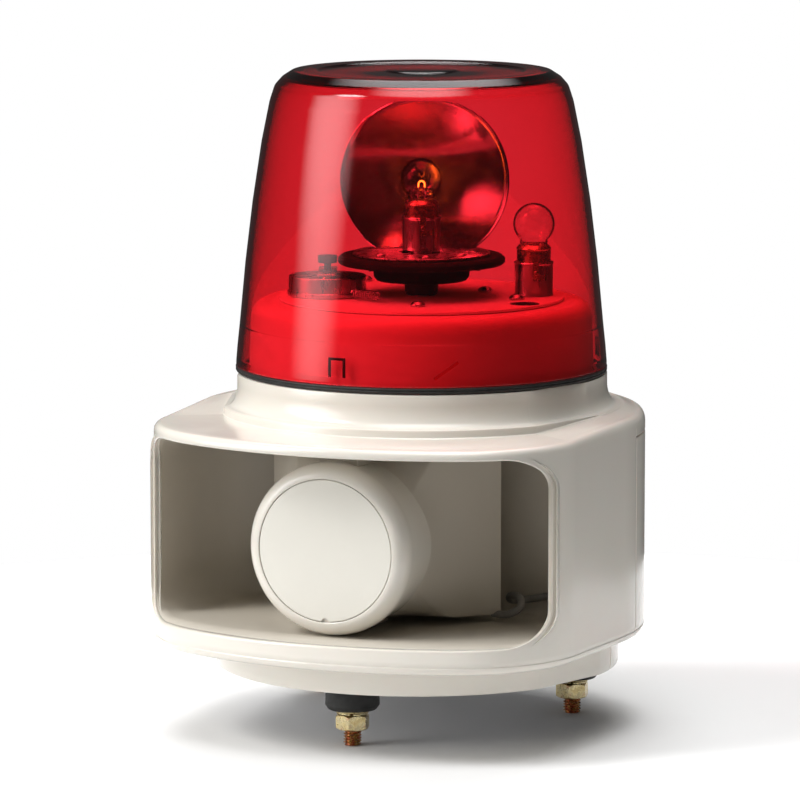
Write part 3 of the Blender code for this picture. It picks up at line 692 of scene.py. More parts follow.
def deck_rings(columns):
    """Rounded rim, deck, step of the round drum, flared neck and the seat of the seal."""
    rings = []
    for k in range(7):
        angle = math.pi / 2 * k / 6
        ring = []
        for s in columns:
            x, y = outline(s, RIM_R * (1 - math.cos(angle)))
            ring.append((x, y, PATCH_HIGH + (RIM_R + REAR_RISE * climb(y)) * math.sin(angle)))
        rings.append(ring)
    crest = [Vector(point) for point in rings[-1]]
    spokes = [point.xy.normalized() for point in crest]
    for t in (0.12, 0.25, 0.4, 0.55, 0.7, 0.82, 0.92):
        ring = []
        for point, spoke in zip(crest, spokes):
            where = point.xy.lerp(spoke * (DRUM_R + 0.0006), t)
            rise = (DRUM_H - DECK_H - REAR_RISE) * climb(point.y) * smooth_step(t)
            ring.append((*where, point.z + rise))
        rings.append(ring)
    foot = [DECK_H + (DRUM_H - DECK_H - 0.0001) * climb(point.y) for point in crest]
    for radius, share in ((DRUM_R + 0.0006, 0.0), (DRUM_R + 0.00015, 0.10), (DRUM_R, 0.30), (DRUM_R, 0.70),
                          (DRUM_R - 0.0002, 0.90), (DRUM_R - 0.0008, 1.0)):
        rings.append([(*(spoke * radius), lerp(h, DRUM_H, share)) for spoke, h in zip(spokes, foot)])
    flare_r, flare_h = DRUM_R - 0.0016 - NECK_R, 0.0090
    for k in range(11):
        angle = math.pi / 2 * k / 10
        radius = NECK_R + flare_r * (1 - math.sin(angle))
        h = DRUM_H + 0.0002 + flare_h * (1 - math.cos(angle))
        rings.append([(*(spoke * radius), h) for spoke in spokes])
    top = SEAL_BOTTOM - GAP
    for radius, h in ((NECK_R, top - 0.0009), (NECK_R - 0.0002, top - 0.0003), (NECK_R - 0.0008, top),
                      (NECK_BORE_R + 0.0006, top), (NECK_BORE_R, top - 0.0006),
                      (NECK_BORE_R, DRUM_H + 0.001)):
        rings.append([(*(spoke * radius), h) for spoke in spokes])
    return rings


def front_shell():
    """Bezel and bowed front, lower wall and plinth, deck and neck, and the skirt over the rear cover."""
    work = bmesh.new()
    columns, rows = mouth_patch(work)
    side = even(PATCH_S, SEAM_S - 0.0012, 22)
    for sign in (-1, 1):
        strip = [(sign * s, 0.0) for s in side] + seam_columns(sign * SEAM_S, sign)
        add_rings(work, [[on_wall(s, h, inset) for s, inset in strip] for h in rows], closed=False)
    right = [(s, 0.0) for s in side[1:]] + seam_columns(SEAM_S, 1)
    left = [(-s, inset) for s, inset in reversed(right)]
    bottom = left + [(s, 0.0) for s in columns] + right
    lower_part(work, bottom, [PATCH_LOW, WALL_ROW_H])
    back = even(SEAM_S + 0.0005, BACK_S, 70)
    loop = [-s for s in reversed(back[:-1])] + [-s for s in reversed(side[1:])] + columns + side[1:] + back
    add_rings(work, deck_rings(loop))
    skirt = [(back[0] - 0.0004)] + back
    skirt += [-s for s in reversed(back[:-1])] + [-(back[0] - 0.0004)]
    edge = PARTING_TOP + 0.0002
    profile = [(0.0030, edge), (0.0007, edge), (0.0002, edge + 0.0002), (0.0, edge + 0.0006),
               (0.0, PATCH_HIGH)]
    add_rings(work, [[on_wall(s, h, inset) for s in skirt] for inset, h in profile], closed=False)
    made = piece("front_housing_shell", finished(work, 38.0), "ivory", ["front_housing"])
    thicken(made, WALL)


def thicken(made, depth):
    wall = made.modifiers.new("wall", "SOLIDIFY")
    wall.thickness = depth
    wall.offset = -1.0
    wall.use_even_offset = False
    wall.use_rim = True


def rear_shell():
    """The round back, from one seam round to the other, with its own part of the plinth."""
    work = bmesh.new()
    around = even(SEAM_S + 0.0014, 2 * BACK_S - SEAM_S - 0.0014, 150)
    first = SEAM_S + SEAM_GAP
    edge = [(first + (SEAM_S - s), inset) for s, inset in seam_columns(SEAM_S, 1)]
    start = list(reversed(edge))
    columns = start + [(s, 0.0) for s in around] + [(2 * BACK_S - s, inset) for s, inset in edge]
    columns = [(s if s <= BACK_S else s - 2 * BACK_S, inset) for s, inset in columns]
    top = PARTING_TOP - 0.0003
    rim = [(0.0030, top), (0.0007, top), (0.0002, top - 0.0002), (0.0, top - 0.0007), (0.0, 0.1100),
           (0.0, 0.0850), (0.0, 0.0600)]
    rings = [[on_wall(s, h, inset + extra) for s, inset in columns] for extra, h in rim]
    add_rings(work, rings, closed=False)
    lower_part(work, columns, [0.0600, WALL_ROW_H])
    made = piece("rear_cover_shell", finished(work, 38.0), "ivory", ["rear_cover"])
    thicken(made, WALL)


# ---- horn ----------------------------------------------------------------------------
def section(half_w, low, high, corner, y_at):
    """Rounded rectangle in x and z whose depth is given for each x."""
    points = []
    straight = half_w - corner
    for sign_x, sign_z, start in ((1, 1, 0), (-1, 1, 90), (-1, -1, 180), (1, -1, 270)):
        for k in range(CORNER_STEPS + 1):
            angle = math.radians(start + 90 * k / CORNER_STEPS)
            x = sign_x * straight + corner * math.cos(angle)
            z = (high - corner if sign_z > 0 else low + corner) + corner * math.sin(angle)
            points.append((x, z))
        if sign_x * sign_z > 0:
            end = -sign_x * straight
            points += [(lerp(x, end, i / 24), z) for i in range(1, 24)]
    return [(x, y_at(x), z) for x, z in points]


def front_y(x, inset):
    return outline(s_at_x(x), inset)[1]


def horn_tray():
    """The mouth's cavity: it starts along the bowed front and narrows to a closed back."""
    low, high = MOUTH_LOW + TRAY_PLAY, MOUTH_HIGH - TRAY_PLAY
    half = MOUTH_HALF_W - TRAY_PLAY
    rings = []
    for share in (0.0, 0.25, 0.6, 1.0):
        rings.append(section(half, low, high, MOUTH_CORNER,
                             lambda x, t=share: lerp(front_y(x, TRAY_START), TRAY_BEND_Y, t)))
    depth = LINER_BACK_Y - 0.0020 - TRAY_BEND_Y
    steps = 12
    for k in range(1, steps + 1):
        angle = math.pi / 2 * k / steps
        narrow = half - TRAY_NARROWS * (1 - math.cos(angle))
        closing = 0.0005 * k / steps
        rings.append(section(narrow, low + closing, high - closing, MOUTH_CORNER,
                             lambda x, a=angle: TRAY_BEND_Y + depth * math.sin(a) ** 0.8))
    work = bmesh.new()
    back = add_rings(work, rings)[-1]
    mid = (low + high) / 2
    inner = [work.verts.new((v.co.x * 0.55, v.co.y, lerp(v.co.z, mid, 0.45))) for v in back]
    for i in range(len(back)):
        j = (i + 1) % len(back)
        work.faces.new((back[i], back[j], inner[j], inner[i]))
    work.faces.new(inner)
    mesh = finished(work, 40.0)
    mesh.flip_normals()
    thicken(piece("horn_tray", mesh, "ivory_liner", ["horn_liner"]), TRAY_WALL)


def driver_to_block(across, upright, points):
    """Section between the driver's round body and the block's rectangle, as (x, z)."""
    span_low, span_high = span("horn_core")
    low, high, half, corner = span_low.z + 0.0030, span_high.z, span_high.x, 0.0006
    radius = DRIVER_R - 0.0004
    middle_z = (low + high) / 2
    out = []
    for k in range(points):
        angle = 2 * math.pi * k / points
        cos, sin = math.cos(angle), math.sin(angle)
        reach = min((half - corner) / max(abs(cos), 1e-6), (high - low) / 2 / max(abs(sin), 1e-6))
        square = Vector((reach * cos, middle_z + reach * sin))
        bearing = math.atan2(square.y - DRIVER_Z, square.x)
        ring = Vector((radius * math.cos(bearing), DRIVER_Z + radius * math.sin(bearing)))
        out.append((lerp(ring.x, square.x, across), lerp(ring.y, square.y, upright)))
    return out


def horn_block():
    """Block that the driver's round body flows into, and the webs over and under the driver."""
    span_low, span_high = span("horn_core")
    points = 240
    steps = 24
    rings = []
    for k in range(steps + 1):
        t = k / steps
        y = lerp(BLOCK_START_Y, BLOCK_EDGE_Y, t)
        rings.append([(x, y, z) for x, z in driver_to_block(t ** 1.9, smooth_step(t * 1.6), points)])
    behind = driver_to_block(1.0, 1.0, points)
    rings.append([(x * 0.995, BLOCK_EDGE_Y + 0.0003, z) for x, z in behind])
    rings.append([(x * 0.84, span_high.y, z) for x, z in behind])
    piece("horn_block", finished(capped(rings), 40.0), "ivory_liner", ["horn_core"])
    depth, mid_y = WEB_BACK_Y - WEB_FRONT_Y, (WEB_FRONT_Y + WEB_BACK_Y) / 2
    sunk = DRIVER_R - 0.0022
    for name, bottom, top in (("web_over_driver", DRIVER_Z + sunk, span_high.z),
                              ("web_under_driver", span_low.z, DRIVER_Z - sunk)):
        web = block((WEB_W, depth, top - bottom), (0, mid_y, (bottom + top) / 2), 0.0008)
        piece(name, web, "ivory_liner")


def driver():
    """The driver's round body, its cap with a rounded shoulder, and the disc set into the cap."""
    lie = Matrix.Translation((0, 0, DRIVER_Z)) @ Matrix.Rotation(math.pi / 2, 4, "X")
    face, back = -CAP_FACE_Y, -DRIVER_BACK_Y
    cap_back = -span("driver_cap")[1].y
    bore, inner_r = 0.0085, DRIVER_R - 0.0020
    can = [(inner_r, cap_back - GAP, 0), (DRIVER_R, cap_back - GAP, 0.0004), (DRIVER_R, back, 0.0002),
           (bore, back, 0.0002), (bore, back + 0.0025, 0.0), (inner_r, back + 0.0025, 0.0)]
    piece("driver_can", lathe(can, 128, True), "ivory", ["driver_housing"], lie)
    lip, play = DISC_R + 0.0005, DISC_R + 0.00025
    cap = [(0, face - 0.0012), (play, face - 0.0012), (play, face - 0.0002)]
    steps = 14
    for k in range(steps + 1):
        angle = math.pi / 2 * k / steps
        cap.append((lip + (CAP_R - lip) * math.sin(angle), face - CAP_ROUND * (1 - math.cos(angle))))
    cap += [(CAP_R, cap_back + 0.0004), (CAP_R - 0.0004, cap_back), (CAP_R - 0.0020, cap_back),
            (CAP_R - 0.0024, face - CAP_ROUND), (lip, face - 0.0030), (0, face - 0.0030)]
    piece("driver_cap_moulding", turned(cap, 128), "ivory", ["driver_cap"], lie)
    low, edge = face - 0.0009, DISC_R - 0.0001
    disc = lathe([(0, low, 0), (edge, low, 0.0001), (edge, face - 0.0001, 0.00035),
                  (0, face + 0.0001, 0)], 128)
    notch = moved(rod(NOTCH_R, 0.08, 0.12, 32), Matrix.Translation((0, -DISC_R, 0)))
    piece("cap_disc_plate", carved(disc, notch), "ivory_disc", ["cap_disc"], lie)


def through(marks, steps=8):
    """A smooth path through all the marks."""
    path = []
    last = len(marks) - 1
    for i in range(last):
        before, start = Vector(marks[max(i - 1, 0)]), Vector(marks[i])
        end, after = Vector(marks[i + 1]), Vector(marks[min(i + 2, last)])
        for k in range(steps):
            t = k / steps
            path.append(0.5 * (2 * start + (end - before) * t
                               + (2 * before - 5 * start + 4 * end - after) * t * t
                               + (3 * start - before - 3 * end + after) * t ** 3))
    return path + [Vector(marks[-1])]


def lead():
    """The driver's lead: a loop from behind the block, then back and into its grommet in the liner."""
    low, high = span("driver_lead")
    edge, z = low.x - 0.0020, middle("driver_lead").z
    exit_z = high.z - 0.0017
    marks = [(edge - 0.0040, low.y - 0.0010, z - 0.0045), (edge + 0.0035, low.y - 0.0030, z - 0.0042),
             (edge + 0.0085, low.y - 0.0012, z - 0.0012), (edge + 0.0070, low.y + 0.0030, z + 0.0024),
             (edge + 0.0005, low.y + 0.0080, z + 0.0020), (edge - 0.0015, low.y + 0.0140, z - 0.0010),
             (edge + 0.0045, low.y + 0.0190, z - 0.0010),
             (high.x - 0.0022, high.y - 0.0030, exit_z), (high.x - 0.0016, high.y, exit_z)]
    piece("driver_lead_wire", swept(through(marks), LEAD_R, 14), "grey_cable", ["driver_lead"])


# ---- globe and seal ------------------------------------------------------------------
def globe():
    """The lens: tapering wall, rounded shoulder, stepped crown, and a bead over the bayonet band."""
    top, foot, wall, edge = GLOBE_TOP, GLOBE_FOOT, LENS_WALL, GLOBE_R - 0.0001
    taper = [(0.0694, 0.2531, 0), (0.0734, 0.2270, 0), (0.0766, 0.2007, 0)]
    crown = [(0, top - 0.0002, 0), (0.0150, top - 0.0002, 0.002), (0.0160, top - 0.0008, 0.002),
             (0.0440, top - 0.0010, 0.002), (0.0452, top - 0.0003, 0.0015), (0.0560, top - 0.0003, 0.0030)]
    shoulder = [(0.0605, top - 0.0032, 0.0040), (0.0637, top - 0.0068, 0.0050), (0.0659, 0.2705, 0.0200)]
    band = [(0.0791, 0.1744, 0), (0.0802, 0.1640, 0), (edge, foot + 0.0012, 0.0006), (edge, foot, 0.0005)]
    inner_band = [(GLOBE_R - wall, foot, 0.0004), (GLOBE_R - wall, foot + 0.0030, 0.0005),
                  (GLOBE_R - wall - 0.0002, foot + 0.0036, 0.0005), (0.0794 - wall, 0.1730, 0.0004),
                  (0.0791 - wall, 0.1736, 0.0004)]
    inner_taper = [(r - wall, h, bend) for r, h, bend in reversed(taper)]
    inner_top = [(0.0659 - wall, 0.2700, 0.0200), (0.0637 - wall, 0.2760, 0.0050),
                 (0.0603 - wall, 0.2795, 0.0040), (0.0540 - wall, top - wall - 0.0011, 0.0030),
                 (0, top - wall - 0.0012, 0)]
    corners = crown + shoulder + taper + band + inner_band + inner_taper + inner_top
    piece("lens", lathe(corners, 192, bends=7, degrees=60.0), "red_lens", ["globe"], body="globe")
    bayonet(GLOBE_R - wall - 0.0009)


def bayonet(radius):
    """Three arched catches and three ramps inside the globe's foot, by which it twists on."""
    low, high = GLOBE_FOOT + 0.0030, GLOBE_FOOT + 0.0108
    mid = (low + high) / 2
    for i in range(3):
        legs = [block((0.0009, 0.0011, high - low), (radius, side * 0.0034, mid), 0.0002) for side in (-1, 1)]
        arch = block((0.0009, 0.0079, 0.0011), (radius, 0, high), 0.0002)
        catch = moved(merged([*legs, arch]), turn_z(-94.0 + 120.0 * i))
        piece(f"bayonet_catch_{i + 1}", catch, "black_plastic", body="globe")
    for i in range(3):
        tilt = Matrix.Translation((radius, 0, mid)) @ Matrix.Rotation(math.radians(35.0), 4, "X")
        wedge = moved(block((0.0010, 0.0125, 0.0014), bevel=0.0003), turn_z(-59.0 + 120.0 * i) @ tilt)
        piece(f"bayonet_ramp_{i + 1}", wedge, "red_lens", body="globe")


def seal():
    low, high, inner, outer = SEAL_BOTTOM, SEAL_TOP, 0.0775, GLOBE_R + 0.0002
    corners = [(inner, low, 0.0003), (outer - 0.0004, low, 0.0004), (outer, low + 0.0008, 0.0004),
               (outer - 0.0005, low + 0.0012, 0.0003), (outer, low + 0.0016, 0.0004),
               (outer - 0.0003, high, 0.0004), (inner, high, 0.0003)]
    piece("seal_gasket", lathe(corners, 160, True, 4), "rubber", ["seal_ring"], body="seal")


# ---- chassis and what stands on it ---------------------------------------------------
def chassis():
    """White drum, the plate on it with its bushed wire hole, and the fixed post of the lamp."""
    low, top = CHASSIS_FOOT, CHASSIS_TOP
    drum = [(PLATE_BORE, top, 0), (CHASSIS_R, top, 0.0075), (CHASSIS_R + 0.0008, SEAL_TOP + 0.004, 0.0),
            (CHASSIS_R + 0.0015, low, 0.0004), (CHASSIS_R - 0.0010, low, 0.0004),
            (CHASSIS_R - 0.0025, top - 0.008, 0), (CHASSIS_R - 0.0040, top - 0.0025, 0.004),
            (PLATE_BORE, top - 0.0025, 0)]
    piece("chassis_can", lathe(drum, 160, True, 8), "white_plastic", ["chassis_drum"])
    plate = [(PLATE_BORE, PLATE_FOOT, 0), (PLATE_R, PLATE_FOOT, 0.0003), (PLATE_R, PLATE_TOP, 0.0005),
             (PLATE_BORE, PLATE_TOP, 0)]
    hole = moved(rod(WIRE_HOLE_R, -0.01, 0.01, 40), at(polar(*WIRE_HOLE_AT, PLATE_TOP)))
    piece("chassis_deck", carved(lathe(plate, 128, True, 3), hole), "white_plastic", ["chassis_plate"])
    outer, inner = WIRE_HOLE_R - 0.0001, WIRE_HOLE_R - 0.0019
    bush = [(inner, 0, 0.0003), (outer, 0, 0.0003), (outer, 0.0012, 0.0004), (inner, 0.0012, 0.0004)]
    piece("wire_hole_bush", lathe(bush, 48, True, 3), "rubber",
          place=at(polar(*WIRE_HOLE_AT, PLATE_TOP - 0.0011)))
    low, high = span("lamp_post")
    post = [(0, high.z, 0), (high.x, high.z, 0.0006), (high.x, low.z, 0.0004), (0, low.z, 0)]
    piece("lamp_column", lathe(post, 48), "steel", ["lamp_post"])


def screw_head(radius, height):
    """Pan head with a cross recess, standing on z = 0."""
    head = lathe([(0, height, 0), (radius * 0.62, height * 0.93, radius * 0.3),
                  (radius, height * 0.35, radius * 0.2), (radius, 0, 0.0001), (0, 0, 0)], 40)
    depth = height * 0.7
    for turn in (0.0, math.pi / 2):
        slot = block((radius * 1.15, radius * 0.24, depth * 2), (0, 0, height), 0.00005, 1, turn)
        head = carved(head, slot)
    return head


def screws():
    for i in range(4):
        stands_for = f"chassis_screw_{i + 1}"
        low, high = levels(stands_for)
        place = at(middle(stands_for), low) @ Matrix.Rotation(0.5 + i, 4, "Z")
        head = screw_head(half_width(stands_for), high - low)
        piece(f"deck_screw_{i + 1}", head, "steel", [stands_for], place)
    for i, bearing in enumerate((60.0, 120.0)):
        height = middle(f"cover_screw_{i + 1}").z
        base = Vector((0, REAR_CENTRE_Y, height)) + polar(REAR_R + 0.0002, bearing)
        out = turn_z(bearing) @ Matrix.Rotation(math.pi / 2, 4, "Y")
        piece(f"rear_screw_{i + 1}", screw_head(0.0034, 0.0019), "steel", [f"cover_screw_{i + 1}"],
              at(base) @ out)


def lamp_cap(name, base, place):
    """Brass cap with a rolled edge and two bayonet pins."""
    low, high = levels(base)
    radius = half_width(base)
    cap = lathe([(0, low, 0), (radius - 0.0015, low, 0.0003), (radius - 0.0002, low + 0.0012, 0.0006),
                 (radius, high - 0.0024, 0.0003), (radius + 0.0003, high - 0.0018, 0.0003),
                 (radius - 0.0010, high - 0.0002, 0.0006), (0.0050, high, 0.0002), (0, high, 0)], 64)
    out = Matrix.Translation((radius - 0.0004, 0, low + 0.0060)) @ Matrix.Rotation(math.pi / 2, 4, "Y")
    pins = []
    for bearing in LAMP_PINS:
        pin = lathe([(0, 0.0022, 0), (0.0010, 0.0022, 0.0004), (0.0010, 0, 0), (0, 0, 0)], 20)
        pins.append(moved(pin, turn_z(bearing) @ out))
    piece(name, merged([cap, *pins]), "brass", [base], place)


def lamp_envelope(name, glass, place):
    """Ball of thin glass with a short neck."""
    low, high = levels(glass)
    ball, wall, neck_r = half_width(glass), 0.0007, 0.0060
    centre_z = high - ball
    angles = [math.radians(a) for a in even(-49.0, 90.0, 18)]
    outer = [(ball * math.cos(a), centre_z + ball * math.sin(a)) for a in angles]
    inner = [((ball - wall) * math.cos(a), centre_z + (ball - wall) * math.sin(a)) for a in angles]
    neck = [(neck_r - wall, low), (neck_r, low), (neck_r, low + 0.0008)]
    for side in (inner, outer):
        side[-1] = (0.0, side[-1][1])
    envelope = list(reversed(inner)) + neck + outer
    piece(name, turned(envelope, 64, degrees=60.0), "glass", [glass], place)


def lamp_sleeve(name, socket, place):
    """Plated sleeve with a beaded rim and two hooked slots for the lamp's pins."""
    low, high = levels(socket)
    outer = half_width(socket)
    inner = outer - 0.0006
    sleeve = lathe([(inner, low, 0), (outer + 0.0003, low, 0.0002), (outer, low + 0.0012, 0.0002),
                    (outer, high - 0.0012, 0.0001), (outer + 0.0004, high - 0.0006, 0.0002),
                    (outer, high, 0.0002), (inner, high, 0.0001)], 64, True, 3)
    for bearing in LAMP_PINS:
        down = block((0.006, 0.0026, 0.0090), (outer, 0, high - 0.0020), 0.0003)
        hook = block((0.006, 0.0060, 0.0024), (outer, 0.0018, high - 0.0066), 0.0003)
        for slot in (down, hook):
            sleeve = carved(sleeve, moved(slot, turn_z(bearing)))
    piece(name, sleeve, "steel", [socket], place)


def filament():
    """Glowing arch, its two support wires and the glass stem that they stand in."""
    low, high = levels("bulb_filament")
    turn = Matrix.Rotation(math.radians(20.0), 3, "Z")
    half, rise, wire = 0.0014, 0.0027, 0.00030
    foot = high - rise - wire
    arch = []
    for angle in even(0.0, math.pi, 24):
        arch.append(turn @ Vector((-half * math.cos(angle), 0, foot + rise * math.sin(angle) ** 0.6)))
    piece("filament_arch", swept(arch, wire, 8), "glow", ["bulb_filament"])
    supports = []
    for side in (-1, 1):
        ends = [turn @ Vector((side * 0.0011, 0, low)), turn @ Vector((side * half, 0, foot - 0.0001))]
        supports.append(swept(ends, 0.00016, 8))
    piece("filament_supports", merged(supports), "steel")
    stem = [(0, low + 0.0042, 0), (0.0016, low + 0.0034, 0.0008), (0.0030, low, 0.0005), (0, low, 0)]
    piece("filament_stem", lathe(stem, 32), "glass")


def lamp(prefix, base, glass, socket):
    place = at(middle(base), 0.0)
    lamp_cap(prefix + "_cap", base, place)
    lamp_envelope(prefix + "_envelope", glass, place)
    lamp_sleeve(prefix + "_sleeve", socket, place)


# ---- rotor ---------------------------------------------------------------------------
def rotor():
    """Ribbed friction wheel, the hub under it, the turntable on it and the turntable's screws."""
    high, step = WHEEL_HIGH, WHEEL_LOW - 0.0028
    tyre = [(WHEEL_BORE, high, 0.0), (WHEEL_R - 0.0014, high, 0.0005), (WHEEL_R, high - 0.0012, 0.0006),
            (WHEEL_R, high - 0.0030, 0.0006), (WHEEL_R - 0.0010, high - 0.0038, 0.0004),
            (0.0330, high - 0.0038, 0.0004), (0.0330, high - 0.0026, 0.0004),
            (0.0215, high - 0.0026, 0.0004), (0.0208, step + 0.0016, 0.0004), (0.0196, step, 0.0005),
            (WHEEL_BORE, step, 0.0)]
    meshes = [lathe(tyre, 144, True, 4)]
    ribs = 12
    for i in range(ribs):
        rib = block((0.0130, 0.0010, 0.0022), (0.0270, 0, high - 0.0034), 0.0002)
        meshes.append(moved(rib, Matrix.Rotation(math.pi * 2 * i / ribs + 0.2, 4, "Z")))
    piece("drive_wheel_tyre", merged(meshes), "wheel_rubber", ["drive_wheel"], body="rotor")
    low, high = levels("rotor_hub")
    bore, flange_r = 0.0048, 0.0110
    hub = [(bore, high, 0), (flange_r, high, 0.0002), (flange_r, step + 0.0008, 0.0004),
           (0.0076, step - 0.0002, 0.0004), (0.0072, low + 0.0014, 0.0003), (0.0066, low, 0.0004),
           (bore, low, 0)]
    piece("rotor_boss", lathe(hub, 72, True, 4), "black_plastic", ["rotor_hub"], body="rotor")
    low, high, inner = TURNTABLE_LOW, TURNTABLE_HIGH, 0.0095
    plate = [(inner, low, 0.0002), (TURNTABLE_R, low, 0.0003), (TURNTABLE_R, high, 0.0003),
             (inner, high, 0.0002)]
    piece("mirror_table", lathe(plate, 120, True, 3), "steel", ["turntable"], body="rotor")
    for i, bearing in enumerate((-115.0, -62.0, -20.0, 150.0)):
        piece(f"table_screw_{i + 1}", screw_head(0.0021, 0.0012), "steel", body="rotor",
              place=at(polar(0.0235, bearing, high)))


def mirror():
    """Parabolic dish with a rolled rim, cut flat where it stands on the turntable, and its bracket."""
    dish_low, dish_high = levels("reflector")
    front = [(r, r * r / (4 * DISH_FOCUS)) for r in even(0.0, DISH_R - 0.0008, 20)]
    edge = front[-1][1]
    rim = [(DISH_R - 0.0003, edge + 0.0002), (DISH_R, edge), (DISH_R, edge - 0.0005),
           (DISH_R - 0.0004, edge - 0.0010)]
    back = [(r, z - DISH_SHEET) for r, z in reversed(front)]
    dish = turned(front + rim + back, 128, degrees=35.0)
    vertex = polar(DISH_FOCUS, 90.0 + math.degrees(DISH_FACING), dish_high - DISH_R)
    stand = at(vertex) @ Matrix.Rotation(DISH_FACING, 4, "Z") @ Matrix.Rotation(math.pi / 2, 4, "X")
    below = block((0.12, 0.12, 0.04), (0, 0, dish_low - 0.02), 0.0001, 1)
    cut = carved(moved(dish, stand), below, degrees=35.0)
    piece("mirror_dish", cut, "mirror", ["reflector"], body="rotor")
    lean = DISH_FOCUS + DISH_SHEET + GAP
    low, high = levels("reflector_bracket")
    upright = block((0.0100, 0.0012, high - low), (0, lean + 0.0006, (low + high) / 2), 0.0004)
    foot = block((0.0100, 0.0048, 0.0012), (0, lean - 0.0010, low + 0.0006), 0.0004)
    bracket = moved(merged([upright, foot], 40.0), Matrix.Rotation(DISH_FACING, 4, "Z"))
    piece("mirror_bracket", bracket, "steel", ["reflector_bracket"], body="rotor")


def motor():
    """Small upright motor with its roller."""
    low, high = levels("motor_can")
    place = at(middle("motor_can"), 0.0)
    radius, shaft = half_width("motor_can"), 0.0046
    can = [(0, low, 0), (radius, low, 0.0004), (radius, low + 0.0016, 0.0002),
           (radius - 0.0006, low + 0.0020, 0.0002), (radius - 0.0006, high - 0.0008, 0.0006),
           (shaft, high - 0.0001, 0.0002), (shaft, high - 0.0006, 0.0002), (0, high - 0.0006, 0)]
    piece("motor_body", lathe(can, 96), "steel", ["motor_can"], place)
    tip = levels("motor_roller")[1]
    roller_r, hub, start = half_width("motor_roller"), 0.0015, high - 0.0002
    top, bottom = tip - 0.0003, WHEEL_LOW + 0.0046
    roller = [(0, tip, 0), (hub, tip, 0.0003), (hub, top, 0), (roller_r, top, 0.0004),
              (roller_r, bottom, 0.0004), (hub, bottom, 0.0001), (hub, start, 0), (0, start, 0)]
    piece("roller_tyre", lathe(roller, 48), "wheel_rubber", ["motor_roller"], place, "roller")


def motor_mount():
    """Swing arm that the motor stands on, its pivot, and the spring that pulls it to the wheel."""
    centre = middle("motor_can")
    low, high = levels("motor_bracket")
    plate = block((0.030, 0.0080, 0.0010), (centre.x, centre.y, (low + high) / 2), 0.0003, 3, MOTOR_ARM)
    hole = moved(rod(0.0026, 0.18, 0.21, 32), at(centre, 0.0))
    piece("swing_plate", carved(plate, hole), "steel", ["motor_bracket"])
    tail = centre + Matrix.Rotation(MOTOR_ARM, 3, "Z") @ Vector((0.0130, 0, 0))
    top, foot = low - GAP, PLATE_TOP + 0.0001
    pivot = [(0, top, 0), (0.0022, top, 0.0003), (0.0022, PLATE_TOP, 0), (0.0034, foot, 0), (0, foot, 0)]
    piece("swing_pivot", lathe(pivot, 32), "brass", place=at(tail, 0.0))
    side = (SPRING_TO - SPRING_FROM).normalized().cross(Vector((0, 0, 1)))
    turns, steps, coil_r = 11, 160, 0.0016
    coil = []
    for k in range(steps + 1):
        t = k / steps
        angle = 2 * math.pi * turns * t
        lift = Vector((0, 0, coil_r * math.sin(angle)))
        coil.append(SPRING_FROM.lerp(SPRING_TO, t) + side * coil_r * math.cos(angle) + lift)
    piece("swing_spring", swept(coil, 0.00028, 6), "steel")


# ---- mounting hardware ---------------------------------------------------------------
def threaded_stud(tip, head_low, head_high):
    """M8 stud with a real helical thread, a chamfered tip and a plain head."""
    columns = 40
    rows = int((head_low - tip) / THREAD_PITCH * 8)
    rings = []
    for i in range(rows + 1):
        z = lerp(tip, head_low, i / rows)
        taper = lerp(0.82, 1.0, min(1.0, (z - tip) / 0.0009 + 0.25))
        ring = []
        for k in range(columns):
            turn = k / columns
            depth = abs((z / THREAD_PITCH - turn) % 1.0 - 0.5) * 2
            radius = lerp(THREAD_CREST, THREAD_ROOT, min(1.0, depth * 1.25)) * taper
            ring.append(polar(radius, 360 * turn, z))
        rings.append(ring)
    head = lathe([(0, head_high, 0), (STUD_HEAD_R - 0.0006, head_high, 0.0004),
                  (STUD_HEAD_R, head_low, 0.0003), (0, head_low, 0)], 40)
    return merged([finished(capped(rings), 50.0), head], 50.0)


def hex_nut(low, high):
    """Hexagon with both ends cut by a cone, as a pressed nut is."""
    corner = NUT_FLATS / math.sqrt(3)
    work = bmesh.new()
    bmesh.ops.create_cone(work, cap_ends=True, segments=6, radius1=corner, radius2=corner, depth=high - low,
                          matrix=Matrix.Translation((0, 0, (low + high) / 2)))
    chamfer, face_r, reach = 0.0010, NUT_FLATS / 2 - 0.0001, corner + 0.0003
    limit = turned([(0, high), (face_r, high), (reach, high - chamfer), (reach, low + chamfer),
                    (face_r, low), (0, low)], 72)
    nut = carved(finished(work, 20.0), limit, "INTERSECT", 20.0)
    return carved(nut, rod(NUT_BORE, low - 0.01, high + 0.01, 48), degrees=20.0)


def split_washer(low, high, outer):
    """Spring washer: a square-section ring cut once and slightly twisted open."""
    rings = []
    steps = 72
    thick = (high - low) * 0.84
    for k in range(steps + 1):
        t = k / steps
        bearing = lerp(4.0, 354.0, t) - 80.0
        lift = low + (high - low - thick) * t
        corners = [(WASHER_BORE, lift, 0.0002), (outer, lift, 0.0002), (outer, lift + thick, 0.0002),
                   (WASHER_BORE, lift + thick, 0.0002)]
        rings.append([polar(r, bearing, z) for r, z in rounded(corners, True, 3)])
    return finished(capped(rings), 35.0)


